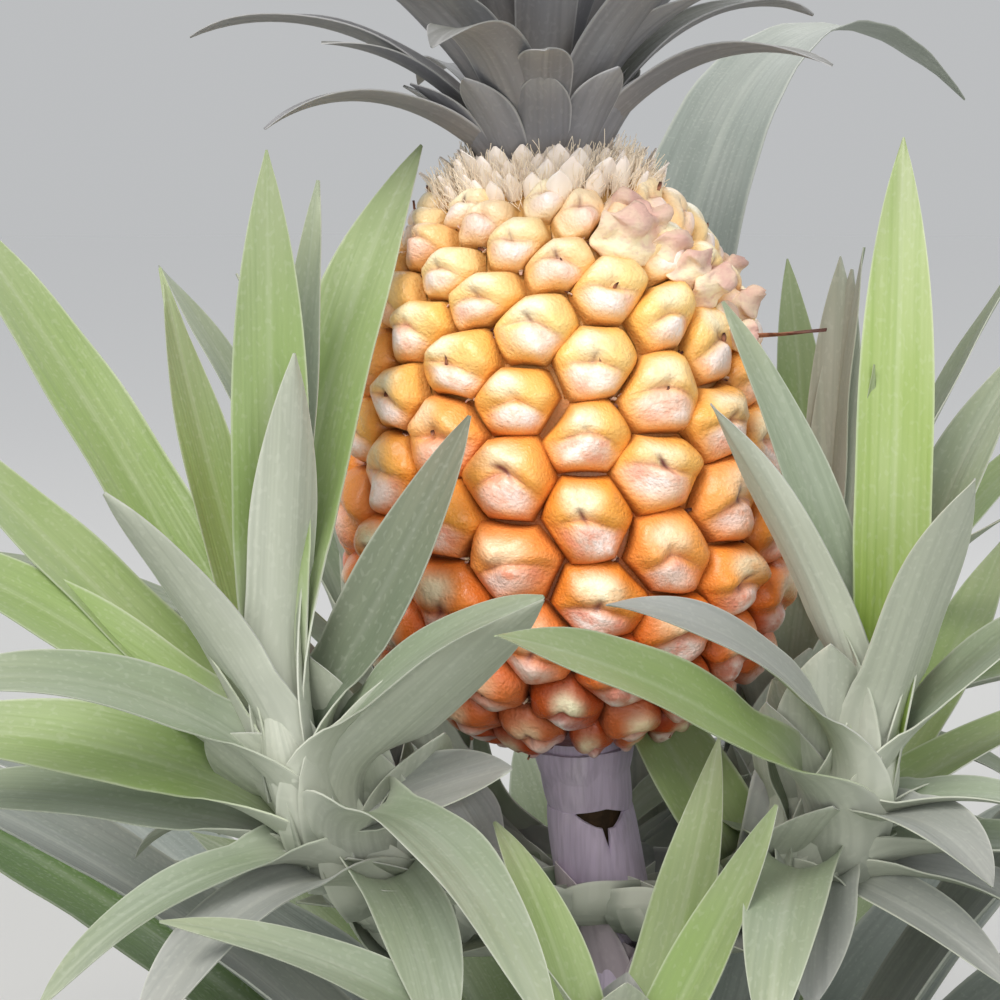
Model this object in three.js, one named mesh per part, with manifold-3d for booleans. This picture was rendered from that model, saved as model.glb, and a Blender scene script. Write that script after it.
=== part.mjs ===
import * as THREE from 'three';
import { mergeVertices } from 'three/addons/utils/BufferGeometryUtils.js';
import Module from 'manifold-3d';

// A pineapple plant in fruit: a short leafy stem, a fruit with its crown on a stalk, and slips under
// the fruit. Lengths are in millimetres and angles in degrees, +Z is up, and the origin is the middle
// of the flat cut under the stem. A turn is counted from +X round +Z, and the front is at 270.
const goldenAngle = 137.5;
const clearance = 0.35;

const stem = {
  height: 180,
  lean: 4,
  sides: 24,
  // radius and height up one side: root flare, even shaft, blunt tip
  profile: [[0, 0], [36, 0], [31, 8], [27, 24], [26, 60], [25, 150], [24, 172], [12, 180], [0, 180]],
};

const stalk = {
  footRadius: 11.5,
  topRadius: 12.5,
  // how far the foot and the top of the stalk run straight on
  footRun: 50,
  topRun: 60,
  sides: 14,
  steps: 8,
  // turn and height of each clasping bract, clear of the places where the slips leave the stalk
  bracts: [[300, 186], [60, 190], [180, 194], [340, 214], [120, 218], [20, 236], [200, 240],
    [80, 250], [345, 252], [150, 248], [262, 256], [262, 301], [20, 303], [140, 305]],
  bractRise: 82,
  bractBend: -6,
  bractLength: 24,
  bractWidth: 17,
  bractSunk: 2,
};

const fruit = {
  base: new THREE.Vector3(-18, 0, 330),
  lean: -4.2,
  height: 149,
  maxRadius: 56.5,
  // radius against the share of the height
  profile: [[0, 18], [0.05, 31], [0.12, 43], [0.2, 51.5], [0.3, 56], [0.4, 56.5], [0.55, 54],
    [0.7, 49.5], [0.82, 43.5], [0.92, 36], [1, 25]],
  // the spiral of eyes: turn from one eye to the next, how it grows, and the rise at full width
  firstTurn: 100.4,
  eyeTurn: 99.2765,
  eyeDrift: 0.0049,
  eyeRise: 1.13,
  eyeCrowding: 1.1,
  firstEye: 3,
  lastEye: 146,
  // the rows of eyes stand higher on one side
  tilt: 8.6,
  tiltTurn: 181.5,
  groove: 2.8,
  bulge: 1.2,
  bulgeInset: 0.45,
};

const crown = {
  leaves: 42,
  coreRadius: 17,
  coreHeight: 50,
  firstTurn: 200,
  scales: 11,
  scaleTurn: 7,
  scaleRise: 62,
  scaleBend: 30,
  scaleLength: 30,
  scaleWidth: 12,
  sunk: 2,
  // the leaves change from the foot of the core to its top
  height: [5, 45],
  coreShare: [1, 0.12],
  rise: [44, 86],
  bend: [76, 20],
  width: [17, 12],
  shortest: 62,
  longer: 62,
  shorter: 22,
};

const rosette = {
  leaves: 34,
  firstTurn: 64,
  // the leaves change from the foot of the stem to its top
  height: [16, 158],
  rise: [13, 31],
  bend: [24, 50],
  width: [38, 46],
  length: 360,
  longer: 190,
  // the part of a half wave that lengthens the leaves halfway up
  wave: [0.1, 0.72],
};

// The slips stand round the stalk: where each leaves it, how far out it reaches and the height it
// gains. Each leaf is [turn, rise, bend, length, width, sweep, roll], from the lowest to the highest.
const slipStem = {
  radius: 10,
  tipRadius: 7.5,
  neck: 0.6,
  sides: 10,
  steps: 6,
  elbowReach: 0.88,
  elbowGain: 2,
  sheaths: [0.16, 0.26, 0.36, 0.46],
  sheathSpread: 32,
  sheathRise: [8, 58],
  sheathBend: 10,
  sheathLength: 52,
  sheathWidth: 22,
  // the share of the stem that carries leaves, flat ones first
  leafy: [0.55, 0.97],
};
const slips = {
  slip_left: {
    turn: 217, root: 290, reach: 102, gain: 78,
    leaves: [
      [165, 12, 22, 125, 19, 0, -20], [225, 14, 52, 91, 15], [175, 27, 37, 115, 20, 0, -40],
      [295, 28, 63, 150, 18], [140, 31, 6, 190, 20, 0, -10], [150, 33, 29, 165, 20, 0, -20],
      [330, 43, 2, 86, 20, 0, -40], [195, 46, 59, 100, 17, 0, -30], [135, 48, 14, 215, 20, 0, -10],
      [320, 52, 33, 95, 13, 0, 40], [118, 52, 0, 150, 10], [125, 57, -8, 130, 15],
      [0, 62, -3, 94, 16, 0, 60], [214, 62, 12, 84, 16, 0, 25], [205, 62, 90, 30, 20],
      [60, 81, 39, 151, 20, 0, 10], [64, 83, 7, 126, 12], [92, 88, 0, 128, 17],
      [300, 82, 0, 88, 16],
    ],
  },
  slip_right: {
    turn: 321, root: 290, reach: 84, gain: 70,
    leaves: [
      [220, 0, 20, 26, 14], [310, 2, 30, 62, 18], [260, 5, 40, 60, 18], [350, 12, 30, 100, 20],
      [60, 15, -18, 150, 18], [20, 30, 20, 80, 18], [300, 33, 72, 55, 20], [330, 34, 56, 60, 18],
      [225, 38, 21, 141, 19, 0, -45], [215, 56, 48, 101, 13, 0, -40], [340, 57, 23, 73, 18, 0, 20],
      [290, 68, 12, 86, 17], [200, 71, 19, 100, 13, 0, 30], [110, 76, -21, 93, 8],
      [170, 77, 17, 114, 13, 0, -50], [40, 77, 43, 117, 17], [80, 89, 30, 143, 17],
    ],
  },
  slip_front: {
    turn: 260, root: 232, reach: 100, gain: 40,
    leaves: [
      [260, 15, 40, 100, 18], [225, 20, 45, 95, 18], [300, 20, 45, 95, 18], [340, 30, 40, 90, 16],
      [160, 25, 30, 70, 14], [60, 43, -27, 109, 16], [190, 52, 42, 121, 13, 0, -30],
      [15, 61, -4, 91, 14, 0, 30], [125, 77, 44, 79, 14],
    ],
  },
  slip_back_right: { turn: 45, root: 284, reach: 98, gain: 62, leafCount: 13, firstTurn: 70 },
  slip_back_left: { turn: 134, root: 284, reach: 98, gain: 62, leafCount: 13, firstTurn: 120 },
};

// How the leaves of the two slips behind change from the lowest to the highest
const ruled = {
  shortest: 100,
  longer: 60,
  wave: [0.15, 0.85],
  width: [18, 14],
  rise: [20, 82],
  bend: [42, 8],
  // a leaf on the side of the fruit
  innerFrom: -0.2,
  innerRise: 88,
  innerBend: -12,
  innerLength: 0.75,
};

// The tall leaves of the rosette, which arch over behind the fruit: the height of each one's foot,
// and then the leaf, written the same way.
const tallLeaves = [
  [162, [95, 86, 112, 660, 34, -44]],
  [158, [0, 74, 108, 500, 34, 6]],
  [160, [174, 56, 76, 430, 36, 4]],
];

const leafSteps = 24;
const footWidth = 0.72;
const tipPower = 0.9;
const bendPower = 1.3;
const channel = 0.42;
const channelFade = 0.6;
const thicknessShare = 1 / 90;
const leastThickness = 0.9;
const thinning = 0.45;
const twistGain = 2.5;
const tallRise = 60;
const fuseStep = 0.002;

const rad = THREE.MathUtils.degToRad;
const up = new THREE.Vector3(0, 0, 1);

const wasm = await Module();
wasm.setup();

const leafGreen = paint('#7f9a5c', 0.45);
const slipGreen = paint('#93ab70', 0.45);
const crownGrey = paint('#8b948c', 0.6);
const stemTan = paint('#a59a72', 0.8);
const stalkMauve = paint('#a99aa4', 0.6);
const fruitOrange = paint('#d98a35', 0.4);

function paint(colour, roughness) {
  return new THREE.MeshStandardMaterial({ color: colour, roughness, metalness: 0 });
}

// The radius at one height, along straight lines between the profile's points.
function between(points, at) {
  const last = points[points.length - 1];
  if (at >= last[0]) return last[1];
  const next = Math.max(1, points.findIndex(([place]) => place > at));
  const [a, ra] = points[next - 1];
  const [b, rb] = points[next];
  return ra + ((rb - ra) * (at - a)) / (b - a);
}

function mix([from, to], share) {
  return from + (to - from) * share;
}

function direction(turn) {
  return new THREE.Vector3(Math.cos(rad(turn)), Math.sin(rad(turn)), 0);
}

// A closed body over rings of points. Each ring has as many points, and a tip closes it to a point.
// Neighbouring strips are split along opposite diagonals, so both faces of a twisted blade bend alike.
function loft(rings, tip) {
  const count = rings[0].length;
  const points = rings.flat();
  const faces = [];
  for (let k = 1; k < count - 1; k += 1) faces.push(0, k + 1, k);
  for (let r = 0; r + 1 < rings.length; r += 1) {
    for (let k = 0; k < count; k += 1) {
      const a = r * count + k;
      const b = r * count + ((k + 1) % count);
      if (k % 2 === 0) faces.push(a, b, b + count, a, b + count, a + count);
      else faces.push(a, b, a + count, b, b + count, a + count);
    }
  }
  const top = (rings.length - 1) * count;
  if (tip) {
    points.push(tip);
    for (let k = 0; k < count; k += 1) faces.push(top + k, top + ((k + 1) % count), points.length - 1);
  } else {
    for (let k = 1; k < count - 1; k += 1) faces.push(top, top + k, top + k + 1);
  }
  const geometry = new THREE.BufferGeometry();
  geometry.setAttribute('position', new THREE.Float32BufferAttribute(points.flatMap((p) => p.toArray()), 3));
  geometry.setIndex(faces);
  return geometry;
}

function solid(geometry) {
  const bare = geometry.clone();
  bare.deleteAttribute('normal');
  bare.deleteAttribute('uv');
  const merged = mergeVertices(bare, 1e-4);
  const mesh = new wasm.Mesh({
    numProp: 3,
    vertProperties: new Float32Array(merged.attributes.position.array),
    triVerts: new Uint32Array(merged.index.array),
  });
  mesh.merge();
  return new wasm.Manifold(mesh);
}

// The body as a mesh with its corners on a fine grid.
function gridGeometry(body) {
  const { vertProperties, triVerts } = body.getMesh();
  const places = vertProperties.map((value) => Math.round(value / fuseStep) * fuseStep);
  const geometry = new THREE.BufferGeometry();
  geometry.setAttribute('position', new THREE.BufferAttribute(places, 3));
  geometry.setIndex(new THREE.BufferAttribute(triVerts, 1));
  return geometry;
}

// Makes corners at the same place one, and drops the faces that this shrinks to a line.
function weld(geometry) {
  const merged = mergeVertices(geometry, fuseStep / 4);
  const corners = Array.from(merged.index.array);
  const kept = [];
  for (let k = 0; k < corners.length; k += 3) {
    const [a, b, c] = corners.slice(k, k + 3);
    if (a !== b && b !== c && c !== a) kept.push(a, b, c);
  }
  merged.setIndex(kept);
  return merged;
}

// The largest body, without sealed hollows or loose scraps.
function outerBody(body) {
  return body.decompose().sort((a, b) => b.volume() - a.volume())[0];
}

function fuse(geometries) {
  const whole = geometries.map(solid).reduce((joined, next) => joined.add(next));
  return gridGeometry(outerBody(solid(weld(gridGeometry(outerBody(whole))))));
}

// A leaf is full to the middle of its length and then runs out to a long point.
function leafShare(along) {
  if (along < 0.5) return mix([footWidth, 1], Math.sin(Math.PI * along));
  const rest = (along - 0.5) / 0.5;
  return (1 - rest * rest) ** tipPower;
}

// A blade with a channel along its upper side. It starts at its base in the direction of its turn and
// rise, bends over by its bend and swings by its sweep towards the tip, and its roll twists it about
// its own length. Its section is a shallow V, thickest at the midrib.
function blade([turn, rise, bend, length, width, sweep = 0, roll = 0], base, segments, upright = false) {
  const thickness = Math.max(length * thicknessShare, leastThickness);
  const rings = [];
  const at = base.clone();
  for (let k = 0; k < leafSteps; k += 1) {
    const out = direction(turn + (sweep * k) / leafSteps);
    const side = new THREE.Vector3(-out.y, out.x, 0);
    const before = rise - bend * (Math.max(0, k - 0.5) / leafSteps) ** bendPower;
    if (k % (leafSteps / segments) === 0) {
      const along = k / leafSteps;
      const half = (width * leafShare(along)) / 2;
      const heading = out.clone().multiplyScalar(Math.cos(rad(before))).setZ(Math.sin(rad(before)));
      const normal = k === 0 && upright ? up.clone() : heading.clone().cross(side);
      const twist = rad(roll) * Math.min(1, twistGain * along);
      side.applyAxisAngle(heading, twist);
      normal.applyAxisAngle(heading, twist);
      const lift = half * channel * (1 - channelFade * along);
      const body = (thickness * (1 - thinning * along)) / 2;
      rings.push([
        at.clone().addScaledVector(normal, body),
        at.clone().addScaledVector(side, -half).addScaledVector(normal, lift),
        at.clone().addScaledVector(normal, -body),
        at.clone().addScaledVector(side, half).addScaledVector(normal, lift),
      ]);
    }
    const pitch = rad(rise - bend * ((k + 0.5) / leafSteps) ** bendPower);
    at.addScaledVector(out, (Math.cos(pitch) * length) / leafSteps);
    at.addScaledVector(up, (Math.sin(pitch) * length) / leafSteps);
  }
  return loft(rings, at);
}

// A round limb along a curve, from one radius to the other, with flat ends and a slimmer neck.
function limb(curve, from, to, sides, steps, neck = 1) {
  const rings = [];
  for (let k = 0; k <= steps; k += 1) {
    const centre = curve.getPoint(k / steps);
    const along = curve.getTangent(k / steps);
    const across = new THREE.Vector3(1, 0, 0).addScaledVector(along, -along.x);
    if (Math.abs(along.x) > 0.9) across.copy(up).addScaledVector(along, -along.z);
    across.normalize();
    const other = along.clone().cross(across);
    const radius = (from + ((to - from) * k) / steps) * (k === 0 ? neck : 1);
    rings.push(Array.from({ length: sides }, (_, n) => {
      const angle = (n / sides) * 2 * Math.PI;
      return centre.clone()
        .addScaledVector(across, radius * Math.cos(angle))
        .addScaledVector(other, radius * Math.sin(angle));
    }));
  }
  return loft(rings);
}

function stemGeometry() {
  const outline = stem.profile.map(([radius, height]) => new THREE.Vector2(radius, height));
  const geometry = new THREE.LatheGeometry(outline, stem.sides).rotateX(Math.PI / 2);
  const places = geometry.attributes.position;
  for (let k = 0; k < places.count; k += 1) {
    places.setX(k, places.getX(k) + stemShift(places.getZ(k)));
  }
  return geometry;
}

function stemShift(height) {
  return stem.lean * (height / stem.height) ** 2;
}

function stemRadius(height) {
  return between(stem.profile.slice(1).map(([radius, place]) => [place, radius]), height);
}

// A leaf of the rosette starts flat against the stem's side. A tall one starts beside the stem and
// keeps the edges of its channel clear of it.
function rosetteLeaf(leaf, height) {
  const [turn, rise, , length, width] = leaf;
  const tall = rise > tallRise;
  const radius = stemRadius(height);
  const half = (width * leafShare(0)) / 2;
  const fallAway = radius - Math.sqrt(radius ** 2 - half ** 2);
  const beside = tall ? Math.max((length * thicknessShare) / 2, half * channel - fallAway) : 0;
  const base = direction(turn).multiplyScalar(radius + clearance + beside);
  base.x += stemShift(height);
  base.z = height;
  return blade(leaf, base, 6, !tall);
}

function rosetteLeaves() {
  const ruled = Array.from({ length: rosette.leaves }, (_, k) => {
    const share = k / (rosette.leaves - 1);
    const turn = rosette.firstTurn + k * goldenAngle;
    const length = rosette.length + rosette.longer * Math.sin(Math.PI * mix(rosette.wave, share));
    const [rise, bend, width] = [rosette.rise, rosette.bend, rosette.width].map((ends) => mix(ends, share));
    return rosetteLeaf([turn, rise, bend, length, width], mix(rosette.height, share));
  });
  return ruled.concat(tallLeaves.map(([height, leaf]) => rosetteLeaf(leaf, height)));
}

function stalkCurve() {
  const foot = new THREE.Vector3(stem.lean, 0, stem.height + clearance);
  const axis = up.clone().applyAxisAngle(new THREE.Vector3(0, 1, 0), rad(fruit.lean));
  const top = fruit.base.clone().addScaledVector(axis, -clearance);
  return new THREE.CubicBezierCurve3(
    foot,
    foot.clone().addScaledVector(up, stalk.footRun),
    top.clone().addScaledVector(axis, -stalk.topRun),
    top,
  );
}

// The middle of the stalk near one height.
function stalkPoint(height) {
  return stalkCurve().getPoint((height - stem.height) / (fruit.base.z - stem.height));
}

// The stalk with its short clasping bracts.
function stalkGeometry() {
  const curve = stalkCurve();
  const pieces = [limb(curve, stalk.footRadius, stalk.topRadius, stalk.sides, stalk.steps)];
  for (const [turn, height] of stalk.bracts) {
    const base = stalkPoint(height).addScaledVector(direction(turn), stalk.footRadius - stalk.bractSunk);
    const bract = [turn, stalk.bractRise, stalk.bractBend, stalk.bractLength, stalk.bractWidth];
    pieces.push(blade(bract, base, 3));
  }
  return fuse(pieces);
}

function slipCurve({ turn, root, reach, gain }) {
  const middle = stalkPoint(root);
  const out = direction(turn);
  const start = middle.clone().addScaledVector(out, stalk.topRadius + 2 * clearance);
  const elbow = middle.clone().addScaledVector(out, reach * slipStem.elbowReach)
    .addScaledVector(up, slipStem.elbowGain);
  const tip = middle.clone().addScaledVector(out, reach).addScaledVector(up, gain);
  return new THREE.QuadraticBezierCurve3(start, elbow, tip);
}

// A slip that the rule fills: leaves at the golden angle, from low and arching to upright. Those on
// the side of the fruit stand up and lean away from it.
function ruledLeaves({ turn, leafCount, firstTurn }) {
  return Array.from({ length: leafCount }, (_, k) => {
    const share = k / (leafCount - 1);
    const leafTurn = firstTurn + k * goldenAngle;
    const outward = Math.cos(rad(leafTurn - turn));
    const full = ruled.shortest + ruled.longer * Math.sin(Math.PI * mix(ruled.wave, share));
    const width = mix(ruled.width, share);
    if (outward < ruled.innerFrom) {
      return [leafTurn, ruled.innerRise, ruled.innerBend, full * ruled.innerLength, width];
    }
    const length = full * Math.min(1, 0.6 + 0.6 * outward);
    return [leafTurn, mix(ruled.rise, share), mix(ruled.bend, share), length, width];
  });
}

// A slip's leaves sit on the outer part of its stem, and steeper ones higher.
function slipGeometry(slip) {
  const curve = slipCurve(slip);
  const { radius, tipRadius, sides, steps, neck } = slipStem;
  const pieces = [limb(curve, radius, tipRadius, sides, steps, neck)];
  slipStem.sheaths.forEach((place, k) => {
    const turn = slip.turn + (k % 2 ? 1 : -1) * slipStem.sheathSpread;
    const rise = mix(slipStem.sheathRise, place);
    const sheath = [turn, rise, slipStem.sheathBend, slipStem.sheathLength, slipStem.sheathWidth];
    pieces.push(blade(sheath, curve.getPoint(place), 2));
  });
  for (const leaf of slip.leaves ?? ruledLeaves(slip)) {
    const place = mix(slipStem.leafy, THREE.MathUtils.clamp(leaf[1] / 90, 0, 1));
    pieces.push(blade(leaf, curve.getPoint(place), leaf[3] > 120 ? 4 : 3));
  }
  return fuse(pieces);
}

// The heights of the eyes: a spiral up the fruit, closer together where it is slimmer.
function eyeRows() {
  const rows = [];
  let height = fruit.firstEye;
  while (height < fruit.lastEye) {
    rows.push(height);
    height += fruit.eyeRise * (fruitRadius(height) / fruit.maxRadius) ** fruit.eyeCrowding;
  }
  return rows;
}

function fruitRadius(height) {
  return between(fruit.profile, height / fruit.height);
}

function eyeTurn(n) {
  return fruit.firstTurn + n * fruit.eyeTurn + n * n * fruit.eyeDrift;
}

// The shorter way round from one eye to another.
function turnTo(n, next) {
  const angle = eyeTurn(next) - eyeTurn(n);
  return angle - 360 * Math.round(angle / 360);
}

// A point of the fruit's skin, raised by some depth. The flat ends stay level.
function skinPoint(turn, level, depth) {
  const share = Math.sin((Math.PI * level) / fruit.height);
  const height = level + fruit.tilt * share * Math.cos(rad(turn - fruit.tiltTurn));
  return direction(turn).multiplyScalar(fruitRadius(height) + depth).setZ(height);
}

// The fruit's skin of six-sided eyes. Eye n touches eyes n + 7, n + 11 and n + 18, so each corner
// lies between three of them. Past both ends the spiral goes on at the last height, which closes
// the rows to the flat ends of the fruit.
function fruitGeometry() {
  const rows = eyeRows();
  const level = (n) => {
    if (n < 0) return 0;
    return n < rows.length ? rows[n] : fruit.height;
  };
  const corner = (n, first, second) => {
    const height = (level(n) + level(n + first) + level(n + second)) / 3;
    const turn = eyeTurn(n) + (turnTo(n, n + first) + turnTo(n, n + second)) / 3;
    return skinPoint(turn, height, -fruit.groove);
  };
  const left = (n) => corner(n, 7, 18);
  const right = (n) => corner(n, 11, 18);
  const triangles = [];
  rows.forEach((height, n) => {
    const rim = [left(n), right(n - 11), left(n - 18), right(n - 18), left(n - 7), right(n)];
    const middle = skinPoint(eyeTurn(n), height, fruit.bulge);
    const outward = middle.clone().setZ(0).setLength(fruit.bulge);
    const raised = rim.map((point) => point.clone().lerp(middle, fruit.bulgeInset).add(outward));
    rim.forEach((point, k) => {
      const next = (k + 1) % 6;
      triangles.push(point, rim[next], raised[next], point, raised[next], raised[k]);
    });
    for (let k = 1; k < 5; k += 1) triangles.push(raised[0], raised[k], raised[k + 1]);
  });
  const under = new THREE.Vector3(0, 0, 0);
  const over = new THREE.Vector3(0, 0, fruit.height);
  for (let n = -18; n < 0; n += 1) {
    const step = n < -11 ? 11 : -7;
    const m = n + rows.length;
    triangles.push(right(n), left(n), under, left(n + step), right(n), under);
    triangles.push(left(m), right(m), over, right(m), left(m + step), over);
  }
  return new THREE.BufferGeometry().setFromPoints(triangles);
}

// The crown: small scales round the foot of a short core, then leaves from arching to upright.
function crownGeometry() {
  const core = new THREE.ConeGeometry(crown.coreRadius, crown.coreHeight, 12, 1).rotateX(Math.PI / 2);
  core.translate(0, 0, crown.coreHeight / 2);
  const pieces = [core];
  for (let k = 0; k < crown.scales; k += 1) {
    const turn = crown.scaleTurn + (360 * k) / crown.scales;
    const base = direction(turn).multiplyScalar(crown.coreRadius - crown.sunk).setZ(crown.sunk);
    const scale = [turn, crown.scaleRise, crown.scaleBend, crown.scaleLength, crown.scaleWidth];
    pieces.push(blade(scale, base, 2));
  }
  for (let k = 0; k < crown.leaves; k += 1) {
    const share = k / (crown.leaves - 1);
    const turn = crown.firstTurn + k * goldenAngle;
    const radius = crown.coreRadius * mix(crown.coreShare, share) - crown.sunk;
    const base = direction(turn).multiplyScalar(radius).setZ(mix(crown.height, share));
    const length = crown.shortest + crown.longer * Math.min(1, share * 4) - crown.shorter * share;
    const rise = mix(crown.rise, share ** 0.8);
    const leaf = [turn, rise, mix(crown.bend, share), length, mix(crown.width, share)];
    pieces.push(blade(leaf, base, 3));
  }
  return fuse(pieces);
}

const model = new THREE.Group();

function add(name, geometry, material, parent = model) {
  const mesh = new THREE.Mesh(geometry, material);
  mesh.name = name;
  parent.add(mesh);
  return mesh;
}

add('stem', stemGeometry(), stemTan);
add('stalk', stalkGeometry(), stalkMauve);
rosetteLeaves().forEach((geometry, k) => add(`leaf_${String(k + 1).padStart(2, '0')}`, geometry, leafGreen));
Object.entries(slips).forEach(([name, slip]) => add(name, slipGeometry(slip), slipGreen));

const leaning = new THREE.Group();
leaning.position.copy(fruit.base);
leaning.rotation.y = rad(fruit.lean);
model.add(leaning);
add('fruit', fruitGeometry(), fruitOrange, leaning);
add('crown', crownGeometry(), crownGrey, leaning).position.z = fruit.height + clearance;

export default model;
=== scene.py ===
import math
import random

import bpy
import numpy as np
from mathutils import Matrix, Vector


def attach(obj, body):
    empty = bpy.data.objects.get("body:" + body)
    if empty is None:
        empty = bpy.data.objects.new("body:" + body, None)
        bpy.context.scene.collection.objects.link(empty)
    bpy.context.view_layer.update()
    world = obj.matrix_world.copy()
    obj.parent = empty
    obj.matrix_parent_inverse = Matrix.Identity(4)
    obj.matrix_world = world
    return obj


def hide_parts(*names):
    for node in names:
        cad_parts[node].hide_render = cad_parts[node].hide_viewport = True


# Pineapple plant in fruit. Lengths are in millimetres and angles in degrees until a mesh is made.
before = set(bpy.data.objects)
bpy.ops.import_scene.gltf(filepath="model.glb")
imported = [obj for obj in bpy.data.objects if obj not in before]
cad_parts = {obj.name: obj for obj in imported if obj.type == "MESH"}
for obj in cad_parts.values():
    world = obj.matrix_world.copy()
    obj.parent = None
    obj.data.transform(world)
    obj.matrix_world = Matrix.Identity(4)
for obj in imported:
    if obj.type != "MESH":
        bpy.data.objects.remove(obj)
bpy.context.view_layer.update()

mm = 0.001
goldenAngle = 137.5
goldenShare = 0.618  # deals out distances that no two neighbours share
clearance = 0.35  # between parts that have grown together
channelDepth = 0.42  # of a leaf, for each millimetre of its half width
up = np.array([0.0, 0.0, 1.0])


def linearColour(hexColour):
    channels = [int(hexColour[k:k + 2], 16) / 255 for k in (1, 3, 5)]
    return [c / 12.92 if c <= 0.04045 else ((c + 0.055) / 1.055) ** 2.4 for c in channels] + [1.0]


def rad(angle):
    return np.radians(angle)


def direction(turn):
    turn = rad(np.asarray(turn, float))
    return np.stack([np.cos(turn), np.sin(turn), np.zeros_like(turn)], -1)


def smoothStep(value, low, high):
    share = np.clip((value - low) / (high - low), 0, 1)
    return share * share * (3 - 2 * share)


# One near the middle, falling off to both sides over a width
def bell(value, width):
    return np.exp(-(value / width) ** 2)


# Each number with its share of the way from the first to the last
def numbered(count):
    return [(k, k / (count - 1)) for k in range(count)]


def unit(vectors):
    return vectors / np.linalg.norm(vectors, axis=1)[:, None]


# Follows the curve that some guiding points draw, at one share of the way or at many
def bezier(points, share):
    while len(points) > 1:
        points = [a * (1 - share) + b * share for a, b in zip(points, points[1:])]
    return points[0]


def shares(count):
    return np.linspace(0, 1, count)[:, None]


def between(ends, share):
    return ends[0] + (ends[1] - ends[0]) * share


def fromProfile(profile, place):
    places, values = np.array(profile, float).T
    return np.interp(place, places, values)


def newObject(name, data):
    thing = bpy.data.objects.new(name, data)
    bpy.context.scene.collection.objects.link(thing)
    return thing


# Equal steps once round, as shares of a full turn
def ringShares(sides):
    return np.arange(sides) / sides


# Faces that join each ring of points to the next
def ringFaces(rings, sides):
    number = np.arange(rings * sides).reshape(rings, sides)
    after = np.roll(number, -1, 1)
    return np.stack([number[:-1], after[:-1], after[1:], number[1:]], -1).reshape(-1, 4)


# The same for a tube whose two end points follow its rings, with both ends closed
def tubeFaces(rings, sides):
    low = rings * sides
    high = low + 1
    last = low - sides
    caps = [(low, (k + 2) % sides, k + 1, k) for k in range(0, sides, 2)]
    caps += [(high, last + k, last + k + 1, last + (k + 2) % sides) for k in range(0, sides, 2)]
    return np.concatenate([ringFaces(rings, sides), caps])


# Materials

# Adds one shader node with its settings, ramp stops and links, and gives back the output that is used.
def addNode(tree, kind, inputs=None, stops=None, out=None, **settings):
    node = tree.nodes.new("ShaderNode" + kind)
    for name, value in settings.items():
        setattr(node, name, value)
    if stops:
        ramp = node.color_ramp.elements
        while len(ramp) < len(stops):
            ramp.new(0.5)
        for element, (place, colour) in zip(ramp, stops):
            element.position = place
            element.color = linearColour(colour)
    for name, value in (inputs or {}).items():
        if isinstance(value, bpy.types.NodeSocket):
            tree.links.new(value, node.inputs[name])
        elif isinstance(value, str):
            node.inputs[name].default_value = linearColour(value)
        else:
            node.inputs[name].default_value = value
    if out is not None:
        return node.outputs[out]
    return next((socket for socket in node.outputs if socket.enabled), None)


def newMaterial(name):
    material = bpy.data.materials.new(name)
    material.use_nodes = True
    material.node_tree.nodes.clear()
    return material, material.node_tree


# Lays colours over one another. Each has what steers it, the values where it starts and is full, its
# strength and its colour.
def addLayers(tree, colour, layers):
    for steer, start, full, strength, paint in layers:
        limits = {0: steer, 1: start, 2: full, 4: strength}
        share = addNode(tree, "MapRange", limits, interpolation_type="SMOOTHSTEP")
        colour = addNode(tree, "Mix", {0: share, 6: colour, 7: paint}, data_type="RGBA")
    return colour


# Noise that repeats some times along each axis of a place
def addGrain(tree, place, scale, detail):
    scaled = addNode(tree, "VectorMath", {0: place, 1: scale}, operation="MULTIPLY")
    return addNode(tree, "TexNoise", {"Vector": scaled, "Scale": 1.0, "Detail": detail})


# Ends a material with its relief, the strength and distance of that, and the other settings
def addSurface(tree, colour, relief, settings):
    height, strength, distance = relief
    bump = addNode(tree, "Bump", {"Height": height, "Strength": strength, "Distance": distance})
    shader = addNode(tree, "BsdfPrincipled", {"Base Color": colour, "Normal": bump, **settings})
    addNode(tree, "OutputMaterial", {"Surface": shader})


# Patterns of a leaf: real size in millimetres across it and along it, how unlike two leaves are, detail
# of the noise. Veins stand 1.1 mm apart in life and are drawn a little coarser to show.
leafPatterns = {
    "veins": (1.3333, 83.333, 3.1, 1.0), "patches": (11.111, 45.455, 1.7, 2.0),
    "flecks": (0.90909, 1.66667, 5.3, 0.0),
}


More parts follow.
